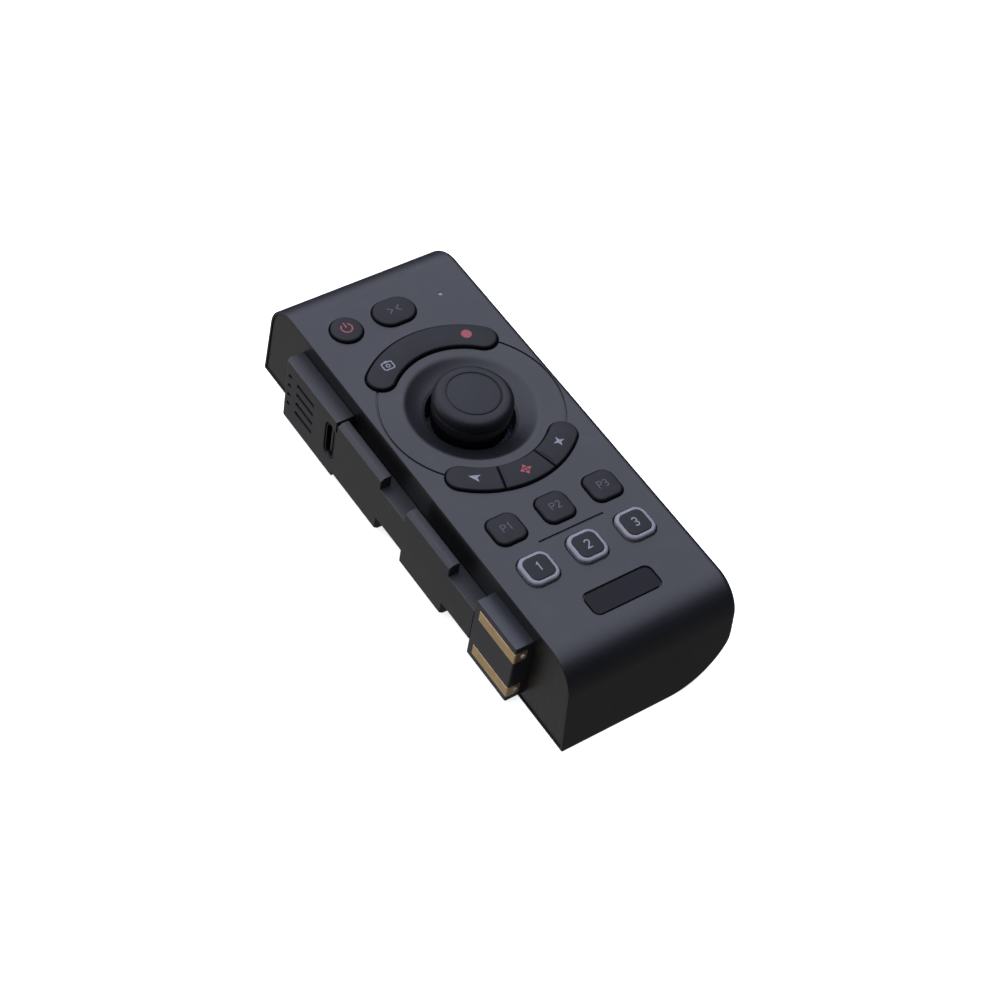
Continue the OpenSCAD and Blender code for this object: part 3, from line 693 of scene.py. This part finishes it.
def cavity():
    """Inside of the body, open on the left where the side wall closes it."""
    limit = GRIP_R - WALL
    turns = [math.radians(90 * k / 18) for k in range(1, 19)]
    stations = [LEFT - 1, GRIP_X] + [GRIP_X + limit * math.sin(t) for t in turns]
    return loft_mesh([
        [(x, y, z) for y, z in side_loop(WALL, max(FLOOR, grip_base(x, limit)))] for x in stations
    ])


def plate_loops(inset, x0, x1, edge=0.0):
    """Side wall's outline at its two faces, with the outer edge rounded."""
    stations = [(inset, x0)]
    if edge:
        stations = [(inset + i, x0 + depth) for i, depth in edge_steps(edge, 3)]
    return [[(x, y, z) for y, z in side_loop(i, i)] for i, x in stations + [(inset, x1)]]


RING_R, ARC_HALF = 18.65, 2.85
ARC_CAP = 40.5
ARC_SPLIT = 15.8
KEY_GAP = 0.2
ROCKER_GAP = 0.35
END_SHIFT = 0.45
KEY_PROUD = 0.8
FLAT_END_R = 0.3
POWER_R = 3.3
MODE_HALF, MODE_R = 1.2, 3.4
P_HALF, P_CORNER_R = 3.35, 1.9
NUMBER_HALF, NUMBER_CORNER_R = 3.5, 2.2
LED_R = 0.45
BADGE_GAP, BADGE_POCKET, BADGE_T = 0.3, 0.05, 0.6
BADGE_HALF_X, BADGE_HALF_Y, BADGE_R = 7.6, 2.5, 1.25
columns = [centre(f"p_key_{i}").x for i in (1, 2, 3)]
POWER = centre("power_key")
MODE = centre("mode_key")
P_ROW = centre("p_key_1").y
NUMBER_ROW = centre("number_key_1").y
BADGE = centre("badge")


def on_ring(angle, r=RING_R):
    """Point at an angle clockwise from +Y."""
    return (r * math.sin(math.radians(angle)), r * math.cos(math.radians(angle)))


def circle_shape(cx, cy, r):
    return lambda grow: arc(cx, cy, r + grow, 0, 360 * 47 / 48, 47)


def stadium_shape(cx, cy, half, r):
    return lambda grow: [(cx + x, cy + y) for x, y in stadium(half, r + grow)]


def rect_shape(cx, cy, hx, hy, r):
    return lambda grow: [(cx + x, cy + y) for x, y in round_rect(hx + grow, hy + grow, r + grow)]


def band_shape(a0, a1, round0, round1):
    """Stretch of the key ring between two angles; its ends are half discs or straight cuts."""
    def outline(grow):
        half = ARC_HALF + grow

        def end(angle, sign, is_round):
            """Points from the side that comes first going clockwise round the outline."""
            if is_round:
                middle = Vector(on_ring(angle))
                out_way = Vector(on_ring(angle, 1))
                along = Vector((out_way.y, -out_way.x)) * sign
                turns = [math.radians(90 - 180 * k / 16) * sign for k in range(17)]
                return [
                    tuple(middle + out_way * half * math.sin(t) + along * half * math.cos(t))
                    for t in turns
                ]
            corner = max(FLAT_END_R + grow, 0.05)
            edge = math.radians(angle) * RING_R + sign * max(min(grow, 0), -END_SHIFT)
            points = []
            for side in (sign, -sign):
                for k in range(5):
                    t = math.radians(90 * k / 4)
                    lean, drop = math.sin(t), math.cos(t)
                    if side != sign:
                        lean, drop = drop, lean
                    s = edge - sign * corner * (1 - lean)
                    d = side * (half - corner * (1 - drop))
                    points.append(on_ring(math.degrees(s / RING_R), RING_R + d))
            return points

        def limit(angle, sign, is_round):
            if is_round:
                return angle
            shift = max(min(grow, 0), -END_SHIFT) - max(FLAT_END_R + grow, 0.05)
            return angle + sign * math.degrees(shift / RING_R)

        b0, b1 = limit(a0, -1, round0), limit(a1, 1, round1)
        steps = 32
        outer = [on_ring(b0 + (b1 - b0) * k / steps, RING_R + half) for k in range(1, steps)]
        inner = [on_ring(b1 + (b0 - b1) * k / steps, RING_R - half) for k in range(1, steps)]
        return outer + end(a1, 1, round1) + inner + end(a0, -1, round0)
    return outline


split = math.degrees(KEY_GAP / 2 / RING_R)
rocker_shape = band_shape(-ARC_CAP, ARC_CAP, True, True)
lower_shape = band_shape(180 - ARC_CAP, 180 + ARC_CAP, True, True)
arc_shapes = {
    "left": band_shape(180 + ARC_SPLIT + split, 180 + ARC_CAP, False, True),
    "centre": band_shape(180 - ARC_SPLIT + split, 180 + ARC_SPLIT - split, False, False),
    "right": band_shape(180 - ARC_CAP, 180 - ARC_SPLIT - split, True, False),
}
power_shape = circle_shape(POWER.x, POWER.y, POWER_R)
mode_shape = stadium_shape(MODE.x, MODE.y, MODE_HALF, MODE_R)
p_shapes = [rect_shape(x, P_ROW, P_HALF, P_HALF, P_CORNER_R) for x in columns]
number_shapes = [
    rect_shape(x, NUMBER_ROW, NUMBER_HALF, NUMBER_HALF, NUMBER_CORNER_R) for x in columns
]
badge_shape = rect_shape(BADGE.x, BADGE.y, BADGE_HALF_X, BADGE_HALF_Y, BADGE_R)


def lip_cut(bm, shape, gap, bottom, lip=LIP):
    """Cutter for one opening: straight below, flaring at the face so the shell's lip is rounded."""
    levels = [(gap, bottom)]
    levels += [(gap + out, FACE - drop) for drop, out in edge_steps(lip)]
    levels.append((gap + lip, FACE + 1))
    skin(bm, shape, levels)


def openings():
    """Cutters for every opening in the face, the badge's pocket and the status light."""
    bm = bmesh.new()
    for shape in [power_shape, mode_shape, rocker_shape, lower_shape] + p_shapes + number_shapes:
        gap = ROCKER_GAP if shape is rocker_shape else KEY_GAP
        lip_cut(bm, shape, gap, UNDER - 3)
    lip_cut(bm, badge_shape, BADGE_GAP + BADGE_POCKET, FACE - BADGE_T, 0.1)
    lip_cut(bm, circle_shape(-columns[0], POWER.y, LED_R), 0, UNDER - 1, 0.12)
    return to_mesh(bm)


DISH_R, THROAT_R, THROAT_DROP = 13.4, 9.0, 2.3
SLEEVE_R, SLEEVE_LOW = 9.6, 15.4


def bowl():
    """Cutter for the joystick's dish: throat, concave bowl and a softened outer edge."""
    blend = 0.55
    slope = THROAT_DROP * (0.5 + math.pi / 4) / (DISH_R - THROAT_R)

    def height(r):
        u = (DISH_R - r) / (DISH_R - THROAT_R)
        if r > DISH_R - blend:
            return FACE - slope * (DISH_R + blend - r) ** 2 / (4 * blend)
        return FACE - THROAT_DROP * (0.5 * u + 0.5 * math.sin(math.pi / 2 * u))

    throat_lip = 0.3
    profile = [(0, SLEEVE_LOW - 1), (THROAT_R, SLEEVE_LOW - 1)]
    for drop, out in edge_steps(throat_lip):
        profile.append((THROAT_R + out, FACE - THROAT_DROP - drop))
    start, steps = THROAT_R + throat_lip, 22
    for k in range(1, steps + 1):
        r = start + (DISH_R + blend - start) * k / steps
        profile.append((r, height(r)))
    profile += [(DISH_R + blend, FACE + 1), (0, FACE + 1)]
    bm = bmesh.new()
    revolve(bm, profile, 144)
    return to_mesh(bm)


def dish_backing():
    """Solid that carries the dish: a cone below the face and the sleeve round its throat."""
    bm = bmesh.new()
    foot = FACE - THROAT_DROP - 1.2
    revolve(bm, [
        (0, SLEEVE_LOW), (SLEEVE_R, SLEEVE_LOW), (SLEEVE_R, foot), (SLEEVE_R + 1, foot),
        (DISH_R + 1.4, UNDER - 0.4), (DISH_R + 1.4, FACE - 0.5), (0, FACE - 0.5)
    ], 96)
    return to_mesh(bm)


def face_lines():
    """Cutters for the ring line and the short rule, each a shallow groove with eased edges."""
    half, ease, depth = 0.18, 0.06, 0.32
    right = [(half, FACE - depth), (half, FACE - ease), (half + ease, FACE), (half + ease, FACE + 1)]
    section = [(-half, FACE - depth)] + right
    section += [(-half - ease, FACE + 1), (-half - ease, FACE), (-half, FACE - ease)]
    bm = bmesh.new()
    steps = 160
    loft(bm, [
        [((RING_R + r) * math.cos(a), (RING_R + r) * math.sin(a), z) for r, z in section]
        for a in (2 * math.pi * k / steps for k in range(steps))
    ], wrap=True)
    rule_half, rule_y = 7.5, -34.1
    loft(bm, [[(x, rule_y + r, z) for r, z in section] for x in (-rule_half, rule_half)])
    return to_mesh(bm)


cover_lo, cover_hi = box_mm("base_cover")
cover_outline = box_outline(cover_lo.x, cover_hi.x, cover_lo.y, cover_hi.y, 0.3)
COVER_GAP, COVER_LEDGE, COVER_LEDGE_END = 0.15, 1.5, 6.5
BOSS_BORE, BOSS_R, BOSS_TOP = 0.8, 1.8, 7
BOARD_TOP = 15
RIB_HALF, RIB_DROP, RIB_HALF_T = 1.6, 2.6, 0.5
screw_spots = [(x, y) for x in (-14.3, 1.4) for y in (-57.3, 37.3)]
board_spots = [(x, y) for x in (-13.6, 13.6) for y in (35.4, -48.6)]


def bottom_cuts():
    """Cutter for the bottom cover's recess, with an eased mouth."""
    bm = bmesh.new()
    g = -COVER_GAP
    levels = [(g - 0.2, -1), (g - 0.2, 0), (g - 0.06, 0.06), (g, 0.2), (g, cover_hi.z)]
    skin(bm, cover_outline, levels)
    return to_mesh(bm)


def inner_window():
    """Cutter through the floor inside the ledge that the bottom cover rests on."""
    bm = bmesh.new()
    outline = box_outline(cover_lo.x + COVER_LEDGE, cover_hi.x - COVER_LEDGE,
                          cover_lo.y + COVER_LEDGE_END, cover_hi.y - COVER_LEDGE_END, 0.3)
    bar(bm, outline, cover_hi.z - 0.5, FLOOR + 1, 0, 0)
    return to_mesh(bm)


def make_shell():
    """Body shell: hollowed, cut for everything in it, with its bosses and the rocker's ribs."""
    mesh = boolean(outer_form(), cavity())
    mesh = boolean(mesh, loft_mesh(plate_loops(RIM, LEFT - 1, plate_hi.x)))
    mesh = boolean(mesh, dish_backing(), "UNION")
    for cutter in (openings(), bowl(), face_lines(), bottom_cuts(), inner_window()):
        mesh = boolean(mesh, cutter)
    bm = bmesh.new()
    bm.from_mesh(mesh)
    bore, r, low, high = BOSS_BORE, BOSS_R, BOARD_TOP, UNDER + 0.2
    for spot in board_spots:
        revolve(bm, [(bore, low), (r, low), (r, high), (bore, high), (bore, low)], 32, spot)
    low, high, end = cover_hi.z, BOSS_TOP, BOSS_TOP - 0.5
    for spot in screw_spots:
        profile = [(bore, low), (r, low), (r, high), (0, high), (0, end), (bore, end), (bore, low)]
        revolve(bm, profile, 32, spot)
    rib = box_outline(-RIB_HALF, RIB_HALF, UNDER - RIB_DROP, UNDER + 0.5, 0.3)
    reach = ARC_HALF + ROCKER_GAP + RIB_HALF_T
    for y in (RING_R - reach, RING_R + reach):
        bar(bm, rib, y - RIB_HALF_T, y + RIB_HALF_T, 0.1, 0.1, along_y)
    make_object("shell_body", bm, "case", "shell", ["wrap_shell"], 35)


make_shell()

bm = bmesh.new()
loft(bm, plate_loops(RIM + RIM_GAP, plate_lo.x, plate_hi.x, 0.12))
make_object("side_wall_panel", bm, "case", "side_wall", ["side_plate"])

bm = bmesh.new()
bar(bm, cover_outline, cover_lo.z, cover_hi.z, 0.12, 0)
make_object("bottom_cover", bm, "case", "cover", ["base_cover"])

# ---- keys

FLANGE_T = 0.8
FLANGE_Z = UNDER - 0.05 - FLANGE_T
FLANGE_OVER = 0.7
STEM_R, STEM_Z = 0.9, 17.15


def key_body(bm, shape, top, half, crown=0.16, edge=0.45, flange=True, low=FLANGE_Z):
    """Key with a flange inside the shell, a rounded edge and a slightly crowned top."""
    levels = [(0, low)]
    if flange:
        flange_top = FLANGE_Z + FLANGE_T
        levels = [(FLANGE_OVER, FLANGE_Z), (FLANGE_OVER, flange_top), (0, flange_top)]
    rim = top - crown
    levels += [(-inset, rim - depth) for inset, depth in reversed(edge_steps(edge, 5))]
    inner = half * 0.86
    steps = 5
    for k in range(1, steps + 1):
        u = k / steps
        levels.append((-(edge + (inner - edge) * u), rim + crown * (1 - (1 - u) ** 2)))
    skin(bm, shape, levels)


def stem(bm, spot, bottom=STEM_Z, top=FLANGE_Z):
    """Post under a key that presses its switch."""
    ease, sunk = 0.15, 0.05
    foot = [(0, bottom), (STEM_R - ease, bottom), (STEM_R, bottom + ease)]
    revolve(bm, foot + [(STEM_R, top + sunk), (0, top + sunk)], 24, spot)


def make_key(node, shape, spot, half, top, part="top", slot="key", **more):
    """Key that stands for a CAD node and rides on the button body of the same name."""
    bm = bmesh.new()
    key_body(bm, shape, top, half, **more)
    stem(bm, spot)
    make_object(f"{node}_{part}", bm, node.replace("key", "button"), slot, [node], 40)


KEY_TOP = FACE + KEY_PROUD
power_spot, mode_spot = (POWER.x, POWER.y), (MODE.x, MODE.y)
make_key("power_key", power_shape, power_spot, POWER_R, KEY_TOP)
make_key("mode_key", mode_shape, mode_spot, MODE_R, KEY_TOP)
ARC_ICON = 31.5
arc_angles = {"left": 180 + ARC_ICON, "centre": 180, "right": 180 - ARC_ICON}
for side, shape in arc_shapes.items():
    make_key(f"arc_key_{side}", shape, on_ring(arc_angles[side]), ARC_HALF, KEY_TOP, edge=0.4)
for i, x in enumerate(columns, 1):
    make_key(f"p_key_{i}", p_shapes[i - 1], (x, P_ROW), P_HALF, KEY_TOP, edge=0.55)

ROCKER_ICON = 30
bm = bmesh.new()
rocker_low = UNDER - 0.8
key_body(bm, rocker_shape, KEY_TOP, ARC_HALF, edge=0.45, flange=False, low=rocker_low)
for s in (-1, 1):
    stem(bm, on_ring(s * ROCKER_ICON), STEM_Z - 0.1, rocker_low)
hub = [(x, z + UNDER - 1.4) for x, z in arc(0, 0, 1.3, 0, 330, 22)]
loft(bm, [[(x, y, z) for x, z in hub] for y in (RING_R - ARC_HALF + 0.1, RING_R + ARC_HALF - 0.1)])
make_object("rocker_key_top", bm, "rocker", "key", ["rocker_key"], 40)

NUMBER_PROUD = 1.0
CAP_T, CAP_HALF, CAP_CORNER_R = 0.35, 2.7, 1.5
number_top = FACE + NUMBER_PROUD
for i, x in enumerate(columns, 1):
    make_key(f"number_key_{i}", number_shapes[i - 1], (x, NUMBER_ROW), NUMBER_HALF,
             number_top - CAP_T + 0.12, "frame", "key_pale", crown=0.02, edge=0.5)
    bm = bmesh.new()
    cap_shape = rect_shape(x, NUMBER_ROW, CAP_HALF, CAP_HALF, CAP_CORNER_R)
    key_body(bm, cap_shape, number_top, CAP_HALF, 0.08, 0.2, False, number_top - CAP_T)
    make_object(f"number_key_{i}_cap", bm, f"number_button_{i}", "key", [f"number_cap_{i}"], 40)

bm = bmesh.new()
bar(bm, lambda inset: badge_shape(-inset), FACE - BADGE_T, FACE - 0.12, 0, 0.1)
make_object("badge_plate", bm, "case", "badge", ["badge"])

# ---- printed symbols

INK_UNDER, INK_OVER = 0.08, 0.015


class Print:
    """Symbols printed on one key: flat strokes and shapes a hair above its top."""

    def __init__(self, spot, top):
        self.bm = bmesh.new()
        self.spot = spot
        self.z = (top - INK_UNDER, top + INK_OVER)

    def solid(self, loop):
        sx, sy = self.spot
        loft(self.bm, [[(sx + x, sy + y, z) for x, y in loop] for z in self.z])

    def stroke(self, points, width, closed=False):
        """Ribbon along a polyline with mitred corners."""
        count = len(points)
        left, right = [], []
        for i, p in enumerate(points):
            sides = [(points[i - 1], p)] if closed or i else []
            if closed or i < count - 1:
                sides.append((p, points[(i + 1) % count]))
            ways = [(Vector(b) - Vector(a)).normalized() for a, b in sides]
            way = sum(ways, Vector((0, 0))).normalized()
            normal = Vector((-way.y, way.x))
            reach = width / 2 / max(0.35, abs(way.dot(ways[0])))
            left.append(tuple(Vector(p) + normal * reach))
            right.append(tuple(Vector(p) - normal * reach))
        if closed:
            (sx, sy), (low, high) = self.spot, self.z
            loft(self.bm, [
                [(sx + x, sy + y, z) for (x, y), z in ((a, low), (a, high), (b, high), (b, low))]
                for a, b in zip(left, right)
            ], wrap=True)
        else:
            self.solid(left + right[::-1])

    def ring(self, r, width, start=0, end=360):
        closed = end - start == 360
        points = arc(0, 0, r, start, end, 36)
        self.stroke(points[:-1] if closed else points, width, closed)

    def disc(self, r):
        self.solid(arc(0, 0, r, 0, 350, 35))

    def done(self, name, material, body):
        make_object(name, self.bm, body, "key", material=material)


def digit(mark, number, height, width, pen, at=(0, 0)):
    """Draws 1, 2 or 3 as strokes, centred on a point."""
    cx, cy = at
    h, w = height / 2, width / 2
    if number == 1:
        flag, stem_x = (cx - w * 0.55, cy + h * 0.62), cx + w * 0.2
        mark.stroke([flag, (stem_x, cy + h), (stem_x, cy - h)], pen)
    elif number == 2:
        bow = arc(cx, cy + h - w, w, 165, -35, 10)
        mark.stroke(bow + [(cx - w, cy - h), (cx + w, cy - h)], pen)
    else:
        q = h / 2
        upper = arc(cx - 0.05, cy + q, q, 150, -90, 10)
        lower = arc(cx - 0.05, cy - q, q, 90, -150, 10)
        mark.stroke(upper[:-1] + [(cx - 0.05, cy)] + lower[1:], pen)


mark = Print(power_spot, KEY_TOP)
mark.ring(1.15, 0.3, 125, 415)
mark.stroke([(0, 1.5), (0, 0.1)], 0.3)
mark.done("power_symbol", red_ink, "power_button")

mark = Print(mode_spot, KEY_TOP)
for s in (-1, 1):
    mark.stroke([(s * 1.35, 0.75), (s * 0.45, 0.0), (s * 1.35, -0.75)], 0.24)
mark.done("mode_symbol", pale_ink, "mode_button")

mark = Print(on_ring(-ROCKER_ICON), KEY_TOP)
mark.stroke(round_rect(1.15, 0.92, 0.35, 4), 0.26, True)
mark.ring(0.38, 0.22)
mark.stroke([(-0.4, 1.16), (0.4, 1.16)], 0.22)
mark.done("picture_symbol", white_ink, "rocker")

mark = Print(on_ring(ROCKER_ICON), KEY_TOP)
mark.disc(1.1)
mark.done("record_symbol", red_ink, "rocker")

mark = Print(on_ring(arc_angles["left"]), KEY_TOP)
mark.solid([(-1.15, 1.05), (0.0, -1.2), (0.22, -0.15), (1.2, 0.15)])
mark.done("pointer_symbol", white_ink, "arc_button_left")

mark = Print(on_ring(180), KEY_TOP)
for k in range(4):
    t = math.pi / 2 * k
    petal = ((1.35, t), (0.75, t + 0.75), (0.42, t), (0.75, t - 0.75))
    mark.solid([(r * math.cos(a), r * math.sin(a)) for r, a in petal])
mark.disc(0.3)
mark.done("centre_symbol", red_ink, "arc_button_centre")

mark = Print(on_ring(arc_angles["right"]), KEY_TOP)
star = [(0.42 if k % 2 else 1.3, math.pi / 4 * k) for k in range(8)]
mark.solid([(r * math.cos(a), r * math.sin(a)) for r, a in star])
mark.done("star_symbol", white_ink, "arc_button_right")

for i, x in enumerate(columns, 1):
    mark = Print((x, P_ROW), KEY_TOP)
    bowl_of_p = arc(-0.6, 0.4, 0.4, 90, -90, 8)
    mark.stroke([(-1.15, -0.8), (-1.15, 0.8), (-0.65, 0.8)] + bowl_of_p + [(-1.1, 0.0)], 0.2)
    digit(mark, i, 1.6, 0.8, 0.2, (0.6, 0))
    mark.done(f"preset_symbol_{i}", pale_ink, f"p_button_{i}")
    mark = Print((x, NUMBER_ROW), number_top)
    digit(mark, i, 1.9, 1.0, 0.26)
    mark.done(f"number_symbol_{i}", white_ink, f"number_button_{i}")

# ---- joystick

PIVOT_Z = FACE - 3.1
CAP_R, CAP_RIM_R, CAP_LINE_R, CAP_CROWN = 8.15, 6.5, 5.5, 0.5
SHOULDER_H = 1.7
SLEEVE_TOP_R = CAP_R - 0.1
DOME_R, DOME_T, DOME_LOW = 7.95, 0.7, 0.8
SLEEVE_DROP, PLATE_T, SHAFT_R = 1.8, 0.4, 1.5


def cap_height(r):
    return cap_hi.z - CAP_CROWN * (r / CAP_RIM_R) ** 2


def make_cap():
    """Thumb cap: rounded shoulder, a fine ring line pressed into it and a crowned top."""
    low, foot = cap_lo.z, 0.2
    rim_z = cap_height(CAP_RIM_R)
    profile = [(0, low), (CAP_R - foot, low)]
    profile += [(CAP_R - foot + x, low + foot - z) for x, z in arc(0, 0, foot, 60, 0, 3)]
    for x, z in arc(0, 0, 1, 0, 90, 14):
        profile.append((CAP_RIM_R + (CAP_R - CAP_RIM_R) * x, rim_z + SHOULDER_H * (z - 1)))
    half, depth, ease = 0.11, 0.16, 0.07
    wall = [(half + ease, 0), (half, 0.3), (half * 0.6, 1)]
    for offset, drop in wall + [(-offset, drop) for offset, drop in reversed(wall)]:
        r = CAP_LINE_R + offset
        profile.append((r, cap_height(r) - drop * depth))
    inner = CAP_LINE_R - half - ease
    profile += [(r, cap_height(r)) for r in (inner * (1 - k / 12) for k in range(1, 13))]
    bm = bmesh.new()
    revolve(bm, profile, 144)
    make_object("thumb_cap", bm, "stick", "thumb_cap", ["joystick_cap"], 50)


def sphere_part(r, low, high, steps):
    """Points up a circle round the pivot between two heights above it."""
    start, end = math.degrees(math.asin(low / r)), math.degrees(math.asin(high / r))
    return arc(0, 0, r, start, end, steps)


def make_dome():
    """Skirt of the stick: a polished spherical shell with a straight sleeve above it."""
    low, top = -DOME_LOW, cap_lo.z - PIVOT_Z
    sleeve_low = FACE - SLEEVE_DROP - PIVOT_Z
    inside = DOME_R - DOME_T
    profile = sphere_part(DOME_R, low, sleeve_low, 14)
    profile += [(SLEEVE_TOP_R - 0.08, sleeve_low), (SLEEVE_TOP_R, sleeve_low + 0.08)]
    profile += [(SLEEVE_TOP_R, top - 0.12), (SLEEVE_TOP_R - 0.12, top)]
    profile += [(SHAFT_R, top), (SHAFT_R, top - PLATE_T)]
    profile += sphere_part(inside, low, top - PLATE_T, 20)[::-1]
    profile.append(profile[0])
    bm = bmesh.new()
    revolve(bm, [(x, z + PIVOT_Z) for x, z in profile], 144)
    bmesh.ops.remove_doubles(bm, verts=bm.verts, dist=1e-4)
    make_object("stick_skirt", bm, "stick", "dome", ["joystick_dome"], 40)


make_cap()
make_dome()

# ---- docking rail

PORT_Y, PORT_Z = centre("usb_socket").y, centre("usb_socket").z
OUT_X, WALL_X = rail_lo.x, rail_hi.x
POD_NEAR, POD_Z = 11.7, (1.5, 17.7)
CORE_Z = (5.9, 14.8)
LUG_Z, LUG_T = (2.0, 17.7), 2.5
UPPER_LUGS = ((-4.6, 11.3), (-28.6, -13.4))
LOWER_LUGS = ((-4.4, 12.2), (-28.0, -13.5))
HOLLOW_Y, HOLLOW_Z, SKIN = (18, 29.4), (3.2, 16.2), 1.2
VENTS_Y, VENT_PITCH, VENT_TOP = ((19.9, 26.2), (28.3, 29.4)), 2.65, 3.7
PORT_HALF, PORT_R = 3.05, 1.75


def port_loop(half, r):
    """Slot standing along Y and Z round the port's centre."""
    return [(PORT_Y + y, PORT_Z + z) for z, y in stadium(half, r)]


def lug(bm, span, z_in, z_out):
    """Tooth of the rail, from its core out to z_out, with a chamfered outer edge."""
    up = 1 if z_out > z_in else -1
    sunk = z_in - up * 0.6
    points = [(OUT_X, sunk), (OUT_X + LUG_T, sunk), (OUT_X + LUG_T, z_out)]
    points += [(OUT_X + 0.9, z_out), (OUT_X, z_out - up * 0.7)]
    radii = [0.03, 0.03, 0.2, 0.15, 0.15]
    if up < 0:
        points, radii = points[::-1], radii[::-1]
    bar(bm, rounded(points, radii), span[0], span[1], 0.18, 0.18, along_y)


def rail_mesh():
    """The rail: pod, core and teeth joined, then the pod's hollow, vents and port cut out."""
    bm = bmesh.new()
    near, far = POD_NEAR, rail_hi.y
    corners = [(OUT_X, near), (WALL_X, near), (WALL_X, far), (OUT_X, far)]
    bar(bm, rounded(corners, [0.15, 0.03, 0.03, 1.0], 8), *POD_Z, 0.15, 0.15)
    mesh = to_mesh(bm)
    bm = bmesh.new()
    core = box_outline(OUT_X, WALL_X, *CORE_Z, 0.15)
    bar(bm, core, block_hi.y, POD_NEAR + 0.6, 0, 0, along_y)
    mesh = boolean(mesh, to_mesh(bm), "UNION")
    bm = bmesh.new()
    for span in UPPER_LUGS:
        lug(bm, span, CORE_Z[1], LUG_Z[1])
    for span in LOWER_LUGS:
        lug(bm, span, CORE_Z[0], LUG_Z[0])
    mesh = boolean(mesh, to_mesh(bm), "UNION")
    bm = bmesh.new()
    bar(bm, box_outline(OUT_X + SKIN, WALL_X + 1, *HOLLOW_Y, 0.2), *HOLLOW_Z, 0, 0)
    mesh = boolean(mesh, to_mesh(bm))
    bm = bmesh.new()
    flare = [(-0.12, OUT_X - 1), (-0.12, OUT_X), (-0.035, OUT_X + 0.035)]
    flare += [(0, OUT_X + 0.12), (0, OUT_X + 3)]
    for i in range(4):
        middle = PORT_Z + VENT_TOP - i * VENT_PITCH
        for y0, y1 in VENTS_Y:
            shape = box_outline(y0, y1, middle - 0.5, middle + 0.5, 0.25)
            skin(bm, shape, flare, along_x)
    r = PORT_R
    flare = [(r + 0.3, OUT_X - 1), (r + 0.3, OUT_X), (r + 0.09, OUT_X + 0.09)]
    flare += [(r, OUT_X + 0.3), (r, WALL_X + 1)]
    skin(bm, lambda r: port_loop(PORT_HALF, r), flare, along_x)
    return boolean(mesh, to_mesh(bm))


bm = bmesh.new()
bm.from_mesh(rail_mesh())
make_object("docking_rail", bm, "case", "rail", ["dock_rail"], 35)

bm = bmesh.new()
block_outline = box_outline(block_lo.y, block_hi.y, block_lo.z, block_hi.z, 0.35)
bar(bm, block_outline, OUT_X, WALL_X, 0.3, 0, along_x)
make_object("contact_block_body", bm, "case", "contact_plastic", ["contact_block"])

STRIP_T, STRIP_WRAP, STRIP_PROUD = 0.4, 3.0, 0.05
for name in ("upper", "lower"):
    lo, hi = box_mm(f"contact_{name}")
    thick = STRIP_T + STRIP_PROUD
    points = [(lo.x, lo.y), (lo.x + STRIP_WRAP, lo.y), (lo.x + STRIP_WRAP, lo.y + thick),
              (lo.x + thick, lo.y + thick), (lo.x + thick, hi.y), (lo.x, hi.y)]
    bm = bmesh.new()
    bar(bm, rounded(points, [0.3, 0.08, 0.08, 0.1, 0.08, 0.08]), lo.z, hi.z, 0.08, 0.08)
    make_object(f"contact_strip_{name}", bm, "case", "gold", [f"contact_{name}"])

stud_lo, stud_hi = box_mm("contact_studs")
bm = bmesh.new()
stud_x = (stud_lo.x + stud_hi.x) / 2
stud_r = (stud_hi.x - stud_lo.x) / 2
for z in (stud_lo.z + stud_r, stud_hi.z - stud_r):
    rings = [(0.62 * stud_r, stud_lo.y), (0.9 * stud_r, stud_lo.y + 0.08)]
    rings += [(stud_r, stud_lo.y + 0.22), (stud_r, stud_hi.y)]
    turns = [2 * math.pi * k / 28 for k in range(28)]
    loft(bm, [[(stud_x + r * math.cos(a), y, z + r * math.sin(a)) for a in turns] for r, y in rings])
make_object("contact_stud_heads", bm, "case", "connector", ["contact_studs"])

SOCKET_HALF, SOCKET_R, SOCKET_BORE = 3.0, 1.6, 1.3
socket_lo, socket_hi = box_mm("usb_socket")
mouth, back = socket_lo.x, socket_hi.x
bm = bmesh.new()
levels = [(1.45, mouth), (1.56, mouth + 0.04), (SOCKET_R, mouth + 0.15), (SOCKET_R, back),
          (1.2, back), (1.2, back - 0.3), (SOCKET_BORE, back - 0.3),
          (SOCKET_BORE, mouth + 0.15), (1.34, mouth + 0.04)]
loft(bm, [[(x, y, z) for y, z in port_loop(SOCKET_HALF, r)] for r, x in levels], wrap=True)
back_wall = port_loop(SOCKET_HALF, SOCKET_BORE)
loft(bm, [[(x, y, z) for y, z in back_wall] for x in (back - 0.3, back - 0.05)])
tongue = box_outline(PORT_Y - 0.35, PORT_Y + 0.35, PORT_Z - 3.3, PORT_Z + 3.3, 0.12)
bar(bm, tongue, mouth + 0.5, back - 0.2, 0.1, 0, along_x)
make_object("port_socket", bm, "case", "socket", ["usb_socket"])

# ---- CAD nodes that stay

for part in frame["record"]["subparts"]:
    node = frame["nodes"][part["node"]]
    node.data.materials.clear()
    node.data.materials.append(finish[part["material_slot"]])
